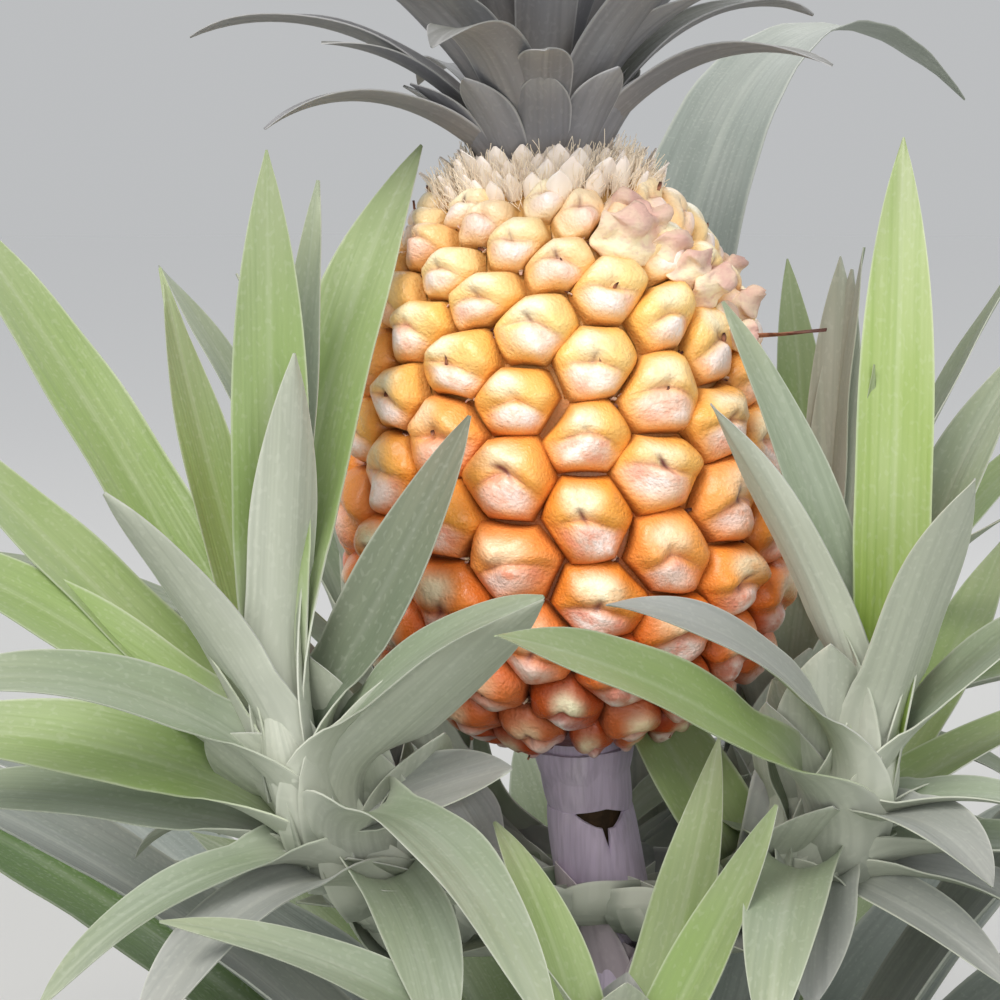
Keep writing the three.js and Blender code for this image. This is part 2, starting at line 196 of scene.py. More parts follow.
# Living bromeliad leaf: a smooth waxy cuticle above, grey mealy scurf beneath, fine lengthwise veins
# and a thin dry margin, so the upper face shines softly and the lower one looks chalky.
def leafCuticle(name, look):
    material, tree = newMaterial(name)
    place = addNode(tree, "Attribute", out="Vector", attribute_name="leafPlace")
    along = addNode(tree, "Attribute", out="Fac", attribute_name="along")
    across = addNode(tree, "Attribute", out="Fac", attribute_name="across")
    veins, patches, flecks = [
        addGrain(tree, place, (1 / wide, 1 / long, unlike), detail)
        for wide, long, unlike, detail in leafPatterns.values()
    ]
    colour = addLayers(tree, look["face"], (
        (along, 0.55, 1.0, 0.75, look["tip"]),
        (along, 0.34, 0.08, 1.0, look["foot"]),
        # the low paint at the very foot, darker than the foot on most paints, is painted shade deep in a
        # heart
        (along, 0.1, 0.02, 0.8, look["low"]),
        (patches, 0.35, 0.7, 0.55, look["patch"]),
        (across, 0.16, 0.0, look["midrib"], look["edge"]),
        (veins, 0.35, 0.7, look["veins"], look["vein"]),
        (flecks, 0.6, 0.74, look["flecks"], look["edge"]),
        (across, 0.92, 0.99, look["margin"], look["edge"]),
    ))
    gloss = {0: patches, 1: 0.3, 2: 0.7, 3: look["roughness"] - 0.06, 4: look["roughness"] + 0.06}
    addSurface(tree, colour, (veins, 0.3, 0.0007), {
        "Roughness": addNode(tree, "MapRange", gloss), "IOR": 1.45, "Specular IOR Level": 0.42,
    })
    return material


# low: painted shade at the very foot of a leaf deep in a heart, where it is darker than the foot; the
# crown's low is a paler tint of its own
freshLook = {
    "face": "#8aa162", "tip": "#9ca489", "foot": "#bfc4b6", "low": "#6f776b", "patch": "#9aa97d",
    "edge": "#dfe2d6", "vein": "#7f9460", "veins": 0.34, "midrib": 0.1, "margin": 0.3, "flecks": 0.07,
    "roughness": 0.44,
}
brightLook = dict(
    freshLook, face="#98ad66", tip="#a2ad88", foot="#a3c04c", low="#8cab40", patch="#a9b985", vein="#7d9a44",
)
mildLook = dict(freshLook, face="#8c9a80", patch="#a1ab9b", vein="#7b8872")
greyLook = dict(freshLook, face="#9b9f9a", tip="#a0a19c", patch="#aeb0af", vein="#858b87")
# painted shade: a darker, duller copy of the slip paint for leaves that lie in shade
shadedLook = dict(
    freshLook, face="#6f7b66", tip="#8c8776", foot="#71806f", low="#5a655a", patch="#7f8672", vein="#5f6a58",
)
scurfLook = dict(
    freshLook, face="#bbc1b1", tip="#aeb4a3", patch="#cacec3", foot="#c6cabd", vein="#9ba294", flecks=0.14,
    midrib=0.04, roughness=0.64,
)
oldFreshLook = dict(
    freshLook, face="#768c50", tip="#8d957c", foot="#b4b8a4", patch="#8e9b70", vein="#627642",
)
oldVividLook = dict(oldFreshLook, face="#46661e", tip="#68804a", patch="#547228", vein="#3c5a1a")
oldGreyLook = dict(oldFreshLook, face="#8a938c", patch="#a0a6a0", vein="#727b74")
oldScurfLook = dict(
    scurfLook, face="#9ba29b", tip="#949b8e", foot="#b0b3a8", patch="#aeb3ad", vein="#838a82",
)
crownLook = dict(
    freshLook, face="#7f7f82", tip="#a7a7aa", foot="#928d8a", low="#b0a69b", patch="#95969a", edge="#cfcfd0",
    vein="#636366", midrib=0.05, margin=0.45, roughness=0.5,
)
crownOliveLook = dict(crownLook, face="#686b5f", foot="#6a6a5c", patch="#7d7f78", vein="#50534a")
crownScurfLook = dict(crownLook, face="#85858a", patch="#9c9ca1", vein="#6d6d72", roughness=0.66)
bractLook = dict(
    freshLook, face="#b2a4ae", tip="#d6cbd0", foot="#9d8f9c", low="#857886", patch="#c4b8c1", edge="#ebe4e6",
    vein="#92848f", midrib=0.05, roughness=0.46,
)
footLook = dict(
    freshLook, face="#fff3e4", tip="#fff2ee", foot="#ffeed2", low="#fbe3bd", patch="#fffaf4", edge="#fffdfb",
    vein="#f7e8d8", midrib=0.0, roughness=0.62,
)


# Ripe pineapple rind: fleshy eyes with a thin waxy skin, golden on the sepals and flushed pink on
# the bract, dark and corky in the seams, so the domes catch a soft wet-looking light.
# Painted light in the rind: a painted highlight high on each dome, a bloom under the crease that is partly
# painted highlight, and painted shade in the creases and folds.
def ripeRind(name, look):
    material, tree = newMaterial(name)
    parts = []
    for label in ("eyePlace", "eyeShade", "slitPlace"):
        place = addNode(tree, "Attribute", out="Vector", attribute_name=label)
        parts += addNode(tree, "SeparateXYZ", {0: place}).node.outputs
    fromBloomHighlight, fromCrease, rim, heightShare, tone, fromHighlight, slitSide, slitAlong, slitDark = parts
    skin = addNode(tree, "Attribute", out="Vector", attribute_name="skinPlace")
    mottle = addNode(tree, "TexNoise", {
        "Vector": skin, "Scale": 1 / look["mottling"], "Detail": 4.0, "Roughness": 0.6,
    })
    pores = addNode(tree, "TexNoise", {"Vector": skin, "Scale": 1 / look["pores"], "Detail": 1.0})
    dome, flank, flush, seam = [
        addNode(tree, "ValToRGB", {0: heightShare}, stops=look[part])
        for part in ("dome", "flank", "flush", "seam")
    ]

    # the crease wanders, and the bloom with its painted highlight and the flush come and go with the
    # mottling
    wavy = addNode(tree, "Math", {0: mottle, 1: 0.5, 2: fromCrease}, operation="MULTIPLY_ADD")
    wavy = addNode(tree, "Math", {0: wavy, 1: 0.25}, operation="SUBTRACT")
    highlightStrength = addNode(tree, "MapRange", {0: mottle, 1: 0.34, 2: 0.6, 3: 0.4, 4: look["highlightStrength"]})
    bloomHighlightLimits = {0: mottle, 1: 0.38, 2: 0.56, 3: 0.2, 4: look["bloomHighlightShare"]}
    bloomHighlight = addNode(tree, "MapRange", bloomHighlightLimits)
    flushed = addNode(tree, "MapRange", {0: mottle, 1: 0.6, 2: 0.36, 3: 0.25, 4: 0.95})
    # painted highlight: a pale cream spot high on each dome, as strong as the mottling lets it be; the
    # flanks turn deeper orange towards the rim
    sepals = addLayers(tree, dome, (
        (fromHighlight, 0.6, 0.08, highlightStrength, look["crest"]),
        (rim, 0.5, 0.95, 0.85, flank),
    ))
    # the bract: pink flush, and under the crease a whitish waxy bloom that is partly painted highlight
    bract = addLayers(tree, dome, (
        (fromBloomHighlight, 1.1, 0.5, flushed, flush),
        (fromBloomHighlight, 0.72, 0.12, bloomHighlight, look["bloomHighlight"]),
        (rim, 0.55, 0.98, 0.85, flank),
    ))

    # a fine mark on both sides of its middle line, as strong as its share lets it be
    def addMark(side, width, share):
        beside = addNode(tree, "Math", {0: side}, operation="ABSOLUTE")
        return addNode(tree, "MapRange", {0: beside, 1: width, 2: 0.0, 4: addNode(tree, "MapRange", share)})

    # brown line of painted shade in the crease, the withered slit over it and folds of painted shade between
    # the sepals
    line = addMark(fromCrease, 0.09, {0: rim, 1: 0.3, 2: 0.9, 3: look["line"], 4: 0.15})
    alongSlit = addNode(tree, "Math", {0: slitAlong}, operation="ABSOLUTE")
    slit = addMark(slitSide, 0.13, {0: alongSlit, 1: 0.3, 2: 0.05, 4: slitDark})
    acrossFold = addNode(tree, "Math", {0: slitAlong, 1: 0.5, 2: slitSide}, operation="MULTIPLY_ADD")
    fold = addMark(acrossFold, 0.07, {0: alongSlit, 1: 0.6, 2: 0.15, 4: 0.22})
    colour = addLayers(tree, bract, (
        (wavy, -0.2, 0.1, 1.0, sepals),
        (tone, 0.3, 1.0, 0.32, look["toned"]),
        (line, 0.0, 1.0, 1.0, look["crease"]),
        (slit, 0.0, 1.0, 1.0, look["slit"]),
        (fold, 0.0, 1.0, 1.0, look["crease"]),
        (rim, 0.88, 1.0, 0.9, seam),
        (pores, 0.62, 0.76, 0.14, look["speck"]),
    ))

    roughness = addNode(tree, "MapRange", {0: rim, 1: 0.75, 2: 1.0, 3: 0.34, 4: 0.62})
    relief = addNode(tree, "Math", {0: line, 1: -1.0, 2: pores}, operation="MULTIPLY_ADD")
    relief = addNode(tree, "Math", {0: mottle, 1: 2.0, 2: relief}, operation="MULTIPLY_ADD")
    addSurface(tree, colour, (relief, 0.6, 0.0006), {
        "Roughness": roughness, "IOR": 1.42, "Specular IOR Level": 0.5, "Coat Weight": 0.35,
        "Coat Roughness": 0.22,
    })
    return material


# Mottling and pores are real sizes in millimetres; the other numbers are strengths.
rindLook = {
    "mottling": 6.25, "pores": 10 / 13,
    # the ramps run from the foot of the fruit at 0 to its top at 1: paler and yellower towards the top,
    # darker and redder towards the bottom
    "dome": ((0.0, "#b03818"), (0.25, "#e8782a"), (0.5, "#fcb452"), (0.8, "#fdd78a"), (1.0, "#fbebc8")),
    "flank": ((0.0, "#8f2612"), (0.25, "#d8601e"), (0.5, "#f0942e"), (0.8, "#f6bc58"), (1.0, "#f4daa8")),
    "flush": ((0.0, "#ad4230"), (0.3, "#ea8266"), (0.6, "#f8ab8e"), (1.0, "#fbe0d0")),
    "seam": ((0.0, "#5e1f0e"), (0.5, "#a4551b"), (1.0, "#c4934a")),
    # the pale cream spot high on each dome is a painted highlight; the whitish bloom on the bract is partly
    # painted highlight
    "crest": "#fff6d4", "highlightStrength": 1.0, "bloomHighlight": "#fff2ef", "bloomHighlightShare": 0.95, "toned": "#f2965c",
    # crease colour and line strength: painted shade in the crease and in the folds between the sepals
    "crease": "#a04a34", "line": 0.5, "slit": "#6a3038", "speck": "#c88350",
}


# Dried bract tips: thin papery tissue that has withered, brown where it is thinnest, pinkish beige
# where it is thick, quite matt.
def witheredTissue(name, pale, stain, dark, dried):
    material, tree = newMaterial(name)
    place = addNode(tree, "Attribute", out="Vector", attribute_name="leafPlace")
    along = addNode(tree, "Attribute", out="Fac", attribute_name="along")
    # fibres 0.6 mm apart and stains of a few millimetres
    fibres = addGrain(tree, place, (1 / 0.625, 0.3, 2.3), 3.0)
    stains = addGrain(tree, place, (0.3, 0.3, 0.3), 3.0)
    colour = addLayers(tree, pale, (
        (stains, 0.42, 0.6, dried, stain),
        (along, 0.3, 1.0, dried, dark),
        (fibres, 0.5, 0.8, 0.35, dark),
    ))
    addSurface(tree, colour, (fibres, 0.5, 0.0006), {"Roughness": 0.8, "IOR": 1.45})
    return material


# Fleshy flower stalk: green tissue flushed mauve under a white waxy bloom, with fine ribs.
def waxyStalk(name):
    material, tree = newMaterial(name)
    place = addNode(tree, "TexCoord", out="Object")
    # ribs about a millimetre apart, clouds of bloom of 14 mm
    ribs = addGrain(tree, place, (900.0, 900.0, 45.0), 2.0)
    clouds = addGrain(tree, place, (70.0, 70.0, 30.0), 3.0)
    flesh = addNode(tree, "ValToRGB", {0: clouds}, stops=(
        (0.3, "#c0b8c2"), (0.42, "#cabcd4"), (0.6, "#dacbe2"), (0.75, "#ece2f0"),
    ))
    colour = addLayers(tree, flesh, ((ribs, 0.35, 0.7, 0.3, "#988b9f"),))
    addSurface(tree, colour, (ribs, 0.35, 0.0008), {"Roughness": 0.5, "IOR": 1.43, "Sheen Weight": 0.2})
    return material


# Old pineapple stem: corky brown skin between ring scars, with the frayed fibres of shed leaves.
def corkyStem(name):
    material, tree = newMaterial(name)
    place = addNode(tree, "TexCoord", out="Object")
    height = addNode(tree, "SeparateXYZ", {0: place}, out="Z")
    fibres = addGrain(tree, place, (600.0, 600.0, 60.0), 6.0)
    # ring scars 7 mm apart, as the relief has them
    ringTurn = 2 * math.pi / 0.007
    wave = addNode(tree, "Math", {0: height, 1: ringTurn, 2: fibres}, operation="MULTIPLY_ADD")
    rings = addNode(tree, "Math", {0: wave}, operation="SINE")
    cork = addNode(tree, "ValToRGB", {0: fibres}, stops=(
        (0.3, "#4d3a24"), (0.5, "#7a6240"), (0.68, "#a08a60"), (0.8, "#b9a984"),
    ))
    colour = addLayers(tree, cork, ((rings, 0.55, 1.0, 0.7, "#3c2d1c"),))
    relief = addNode(tree, "Math", {0: rings, 1: -0.5, 2: fibres}, operation="MULTIPLY_ADD")
    addSurface(tree, colour, (relief, 0.8, 0.0015), {"Roughness": 0.85, "IOR": 1.45})
    return material


# The paints of each kind of leaf. A slip's run from the brightest to the darkest, which is painted
# shade, and a leaf's underside is scurf; the rosette's last paint is that of its greenest leaves.
leafPaints = {
    "rosette": {
        "rosetteFresh": oldFreshLook, "rosetteGrey": oldGreyLook, "rosetteScurf": oldScurfLook,
        "rosetteVivid": oldVividLook,
    },
    "slip": {
        "slipBright": brightLook, "slipFresh": freshLook, "slipMild": mildLook, "slipGrey": greyLook,
        "slipShaded": shadedLook, "slipScurf": scurfLook,
    },
    "crown": {"crownGrey": crownLook, "crownOlive": crownOliveLook, "crownScurf": crownScurfLook},
    "bract": {"mauveBract": bractLook},
    "foot": {"woollyFoot": footLook},
}
leafMaterials = {
    kind: [leafCuticle(*paint) for paint in paints.items()] for kind, paints in leafPaints.items()
}
rindMaterial = ripeRind("ripeRind", rindLook)
witheredBrown = witheredTissue("witheredBrown", "#a8745a", "#7b4c3a", "#4a2a22", 1.0)
witheredBeige = witheredTissue("witheredBeige", "#fff0cc", "#e8b9ae", "#c08f8e", 0.6)
# painted shade: a near-black sheet for the recess of the slit between the stalk's collars
slitShade = witheredTissue("slitShade", "#43301a", "#33230f", "#1c120c", 1.0)
stalkMaterial = waxyStalk("waxyStalk")
stemMaterial = corkyStem("corkyStem")
print("materials made")


# Meshes

# Joins batches of points, faces and attributes into one piece of the plant.
def makePiece(name, batches, materials, nodes, sharpAngle=50):
    points = np.concatenate([batch["points"] for batch in batches])
    offsets = np.cumsum([0] + [len(batch["points"]) for batch in batches[:-1]])
    faces = np.concatenate([batch["faces"] + offset for batch, offset in zip(batches, offsets)])
    mesh = bpy.data.meshes.new(name)
    mesh.vertices.add(len(points))
    mesh.vertices.foreach_set("co", (points * mm).astype(np.float32).ravel())
    mesh.loops.add(faces.size)
    mesh.loops.foreach_set("vertex_index", faces.astype(np.int32).ravel())
    mesh.polygons.add(len(faces))
    mesh.polygons.foreach_set("loop_start", np.arange(0, faces.size, faces.shape[1], dtype=np.int32))
    mesh.update(calc_edges=True)
    for material in materials:
        mesh.materials.append(material)
    if "paint" in batches[0]:
        paint = np.concatenate([batch["paint"] for batch in batches]).astype(np.int32)
        mesh.polygons.foreach_set("material_index", paint)
    for label in batches[0]["attributes"]:
        values = np.concatenate([batch["attributes"][label] for batch in batches]).astype(np.float32)
        kind = "FLOAT" if values.ndim == 1 else "FLOAT_VECTOR"
        attribute = mesh.attributes.new(label, kind, "POINT")
        attribute.data.foreach_set("value" if kind == "FLOAT" else "vector", values.ravel())
    mesh.validate()
    mesh.shade_smooth()
    mesh.set_sharp_from_angle(angle=rad(sharpAngle))
    piece = newObject(name, mesh)
    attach(piece, "root")
    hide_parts(*nodes)
    print(name, len(faces), "faces")


# What all leaves share: points across, thickness of the margin, height and length of its waves, gain in
# width over the plan, how far the wide foot reaches, how the leaf narrows and thins, and where a
# sheath lets go, as shares of its own length.
leafShape = {
    "columns": 9, "margin": 0.14, "wave": 0.35, "waveLength": 45, "gain": 1.06, "footLength": 0.22,
    "footWidth": 0.72, "tipPower": 0.9, "bendPower": 1.3, "crowding": 0.85, "leastHalf": 0.25,
    "flattening": 0.6, "channelPower": 1.5, "thinning": 0.7, "edgeThinning": 0.78, "rollGain": 2.5,
    "sheathEnds": [0.2, 1.25],
}


# A leaf is full to the middle of its length and then runs out to a long point.
def leafShare(along):
    foot = leafShape["footWidth"]
    rest = np.clip((along - 0.5) / 0.5, 0, 1)
    low = foot + (1 - foot) * np.sin(np.pi * along)
    return np.where(along < 0.5, low, (1 - rest * rest) ** leafShape["tipPower"])


# The middle line of a leaf with the directions it runs in and the directions of its side.
def leafLine(leaf, base, steps):
    turn, rise, bend, length = leaf[:4]
    sweep = leaf[5] if len(leaf) > 5 else 0

    def headingAt(share):
        pitch = rad(rise - bend * share ** leafShape["bendPower"])[:, None]
        return direction(turn + sweep * share) * np.cos(pitch) + up * np.sin(pitch)

    along = np.linspace(0, 1, steps + 1)
    strides = headingAt((along[:-1] + along[1:]) / 2) * length / steps
    points = np.concatenate([[base], base + np.cumsum(strides, 0)])
    out = direction(turn + sweep * along)
    side = np.stack([-out[:, 1], out[:, 0], np.zeros(steps + 1)], -1)
    return along, points, headingAt(along), side


# One leaf as a thin closed sheet over its line. Its look has its thickness, the paints of its upper
# and under side and how much wider its foot is. A sheath wraps the foot round what it grows from: its
# start, the way it starts out, the share of the leaf it takes and its inner radius.
def growLeaf(leaf, base, steps, look, chance, sheath=None):
    length, width = leaf[3:5]
    roll = leaf[6] if len(leaf) > 6 else 0
    along, points, heading, side = leafLine(leaf, base, steps)
    wrap = np.zeros(steps + 1)
    if sheath:
        join = int(round(steps * sheath["share"]))
        reach = np.linalg.norm(points[join] - sheath["start"]) * 0.4
        first = bezier([
            sheath["start"], sheath["start"] + sheath["way"] * reach,
            points[join] - heading[join] * reach, points[join],
        ], shares(join + 1))
        points = np.concatenate([first[:-1], points[join:]])
        heading = unit(np.gradient(points, axis=0))
        wrap = 1 - smoothStep(along, *[end * sheath["share"] for end in leafShape["sheathEnds"]])
    normal = unit(np.cross(heading, side))
    side = np.cross(normal, heading)
    twist = rad(roll) * np.minimum(1, leafShape["rollGain"] * along)[:, None]
    side, normal = (
        side * np.cos(twist) + np.cross(heading, side) * np.sin(twist),
        normal * np.cos(twist) + np.cross(heading, normal) * np.sin(twist),
    )

    columns = leafShape["columns"]
    lengthShare = along[:, None]
    across = np.linspace(-1, 1, columns)
    across = np.sign(across) * np.abs(across) ** leafShape["crowding"]
    fromMidrib = np.abs(across)
    footGain = 1 + look.get("footGain", 0) * bell(along, leafShape["footLength"])
    half = width * leafShare(along) * leafShape["gain"] * footGain / 2
    half = np.maximum(half, leafShape["leastHalf"])[:, None]
    sideways = half * across
    flat = 1 - leafShape["flattening"] * lengthShare
    lift = half * channelDepth * flat * fromMidrib ** leafShape["channelPower"]
    phase = chance.uniform(0, 2 * math.pi)
    waves = length / leafShape["waveLength"]
    ripple = leafShape["wave"] * np.sin(2 * np.pi * waves * lengthShare + phase + across * 1.4)
    lift = lift + ripple * fromMidrib ** 2 * smoothStep(lengthShare, 0.1, 0.4)
    curl = np.zeros_like(sideways)
    if sheath:
        angle = across * rad(sheath["spread"])
        blend = wrap[:, None]
        sideways = sideways * (1 - blend) + sheath["radius"] * np.sin(angle) * blend
        lift = lift * (1 - blend) + sheath["radius"] * (1 - np.cos(angle)) * blend
        curl = angle * blend
    thick = look["thickness"] * (1 - leafShape["thinning"] * lengthShare)
    body = thick * (1 - leafShape["edgeThinning"] * across ** 2) + leafShape["margin"]
    middle = points[:, None] + side[:, None] * sideways[..., None] + normal[:, None] * lift[..., None]
    # half the thickness lies on each side, square to the sheet where it curls round the neck
    facing = normal[:, None] * np.cos(curl)[..., None] - side[:, None] * np.sin(curl)[..., None]
    above = middle + facing * (body / 2)[..., None]
    below = middle - facing * (body / 2)[..., None]
    rings = np.concatenate([above, below[:, ::-1]], 1)

    count = rings.shape[1]
    faces = ringFaces(steps + 1, count)[:, [0, 3, 2, 1]]
    for first, flip in ((0, 1), (steps * count, -1)):
        last = first + count - 1
        cap = [(first + k, first + k + 1, last - 1 - k, last - k)[::flip] for k in range(columns - 1)]
        faces = np.concatenate([faces, cap])
    upperPaint, underPaint = look["paint"]
    strips = np.where(np.arange(count) < columns, upperPaint, underPaint)
    seed = chance.uniform(0, 50)
    ones = np.ones((steps + 1, count))
    spread = np.concatenate([sideways, sideways[:, ::-1]], 1)
    edge = np.concatenate([fromMidrib, fromMidrib[::-1]]) * ones
    lengthwise = lengthShare * ones
    return {
        "points": rings.reshape(-1, 3), "faces": faces,
        "paint": np.concatenate([np.tile(strips, steps), np.full(2 * columns - 2, upperPaint)]),
        "attributes": {
            "leafPlace": np.stack([spread, lengthwise * length, seed * ones], -1).reshape(-1, 3),
            "along": lengthwise.reshape(-1),
            "across": edge.reshape(-1),
        },
    }


# Where a limb stands in a leaf's patterns: near the foot, halfway to the margin
limbSeed, limbAlong, limbAcross = 7.0, 0.12, 0.5


# A round limb over a line, with a radius for each point.
def growLimb(points, radii, sides):
    heading = unit(np.gradient(points, axis=0))
    first = unit(np.cross(heading, [0.3, 1.0, 0.1]))
    second = np.cross(heading, first)
    angle = ringShares(sides) * 2 * np.pi
    ring = first[:, None] * np.cos(angle)[None, :, None] + second[:, None] * np.sin(angle)[None, :, None]
    rings = points[:, None] + ring * radii[..., None]
    faces = tubeFaces(len(points), sides)
    lengths = np.concatenate([[0], np.cumsum(np.linalg.norm(np.diff(points, axis=0), axis=1))])
    ones = np.ones((len(points), sides))
    place = np.stack([angle * radii.mean() * ones, lengths[:, None] * ones, limbSeed * ones], -1)
    place = place.reshape(-1, 3)
    count = len(place) + 2
    return {
        "points": np.concatenate([rings.reshape(-1, 3), points[[0, -1]]]), "faces": faces,
        "paint": np.zeros(len(faces)),
        "attributes": {
            "leafPlace": np.concatenate([place, place[[0, -1]]]),
            "along": np.full(count, limbAlong), "across": np.full(count, limbAcross),
        },
    }


# Stem: root flare, even shaft and blunt tip, with swollen ring scars
stem = {
    "height": 180, "lean": 4, "sides": 96, "rings": 140, "scarSpacing": 7, "scarDepth": 0.6, "gnarl": 0.25,
    "profile": [[0, 36], [8, 31], [24, 27], [60, 26], [150, 25], [172, 24], [180, 12]],
}


def stemRadius(height):
    return fromProfile(stem["profile"], height)


def stemShift(height):
    return stem["lean"] * (height / stem["height"]) ** 2


def makeStem():
    heights = np.linspace(0, stem["height"], stem["rings"])
    points = np.stack([stemShift(heights), np.zeros_like(heights), heights], -1)
    turns = ringShares(stem["sides"]) * 2 * np.pi
    scars = np.sin(2 * np.pi * heights / stem["scarSpacing"])[:, None] * np.ones(stem["sides"])
    gnarl = np.sin(5 * turns + heights[:, None] / 9) + np.sin(9 * turns - heights[:, None] / 14 + 1.0)
    radii = stemRadius(heights)[:, None] + stem["scarDepth"] * (scars - 1) + stem["gnarl"] * (gnarl - 2)
    # rings are made level, so the flat cut stays flat
    level = np.stack([np.cos(turns), np.sin(turns), np.zeros_like(turns)], -1)
    rings = points[:, None] + level[None] * radii[..., None]
    batch = {
        "points": np.concatenate([rings.reshape(-1, 3), points[[0, -1]]]),
        "faces": tubeFaces(stem["rings"], stem["sides"]), "attributes": {},
    }
    makePiece("stemTrunk", [batch], [stemMaterial], ["stem"], 60)


makeStem()


# Rosette: long leaves at the golden angle, their feet wrapped round the stem
rosette = {
    "leaves": 34, "firstTurn": 64, "height": [16, 158], "steps": 54, "thickness": 2.6,
    "sheathDrop": 26, "sheathGap": 1.5, "sheathSpread": 72,
    # the share of a leaf that its sheath takes, on a low leaf and on one steeper than the limit
    "sheathShare": [0.16, 0.1], "steep": 60,
    # the lower leaves from the lowest to the highest: rise, bend and width
    "rise": [13, 31], "bend": [24, 50], "width": [38, 46], "length": [360, 190], "greyShare": 0.35,
    # the young leaves in the heart of the rosette
    "inner": 32, "innerTurn": 60, "innerRise": [26, 52], "innerBend": 44, "innerLength": 235,
    "innerWidth": 36, "innerHeight": [120, 170], "innerGreyShare": 0.6,
    # paints: grey, the underside and the greenest
    "grey": 1, "under": 2, "greenest": 3,
    # the leaves that are greenest, counted from the lowest; the last one shows in the photograph
    "vivid": [3, 11, 19, 27, 32],
    # height of the foot, then turn, rise, bend, length, width and sweep of the tall leaves
    "tall": [
        [162, [95, 86, 112, 660, 34, -44]], [158, [0, 74, 108, 500, 34, 6]],
        [160, [174, 56, 76, 430, 36, 4]],
    ],
}


def rosetteLeaf(leaf, height, paint, chance):
    turn, rise, length, width = leaf[0], leaf[1], leaf[3], leaf[4]
    radius = float(stemRadius(height))
    half = width * leafShape["footWidth"] / 2
    fallAway = radius - math.sqrt(radius ** 2 - half ** 2)
    # an upright leaf stands further out, by the solid's half thickness or its channel
    beside = max(length / 180, half * channelDepth - fallAway) if rise > rosette["steep"] else 0
    base = direction(turn) * (radius + clearance + beside) + [stemShift(height), 0, height]
    drop = min(rosette["sheathDrop"], height - 4)
    foot = height - drop
    gap = rosette["sheathGap"]
    start = direction(turn) * (float(stemRadius(foot)) + gap) + [stemShift(foot), 0, foot]
    share = rosette["sheathShare"][0 if rise < rosette["steep"] else 1]
    sheath = {
        "start": start, "way": up, "share": share, "radius": radius + gap, "spread": rosette["sheathSpread"],
    }
    look = {"thickness": rosette["thickness"], "paint": (paint, rosette["under"])}
    return growLeaf(leaf, base, rosette["steps"], look, chance, sheath)


def makeRosette():
    chance = random.Random(11)
    batches = []
    for k, share in numbered(rosette["leaves"]):
        parts = ("height", "rise", "bend", "width")
        height, rise, bend, width = [between(rosette[part], share) for part in parts]
        least, more = rosette["length"]
        length = least + more * math.sin(math.pi * (0.1 + 0.62 * share))
        turn = rosette["firstTurn"] + k * goldenAngle
        paint = int(chance.random() < rosette["greyShare"])
        paint = rosette["greenest"] if k in rosette["vivid"] else paint
        batches.append(rosetteLeaf([turn, rise, bend, length, width], height, paint, chance))
    batches += [rosetteLeaf(leaf, height, rosette["grey"], chance) for height, leaf in rosette["tall"]]
    nodes = [f"leaf_{k + 1:02d}" for k in range(len(batches))]
    # shorter young leaves fill the heart of the rosette
    for k, share in numbered(rosette["inner"]):
        turn = rosette["firstTurn"] + rosette["innerTurn"] + k * goldenAngle
        length = rosette["innerLength"] * chance.uniform(0.8, 1.2)
        rise = between(rosette["innerRise"], share)
        leaf = [turn, rise, rosette["innerBend"], length, rosette["innerWidth"]]
        paint = int(chance.random() < rosette["innerGreyShare"])
        batches.append(rosetteLeaf(leaf, between(rosette["innerHeight"], share), paint, chance))
    makePiece("rosetteLeaves", batches, leafMaterials["rosette"], nodes)


makeRosette()


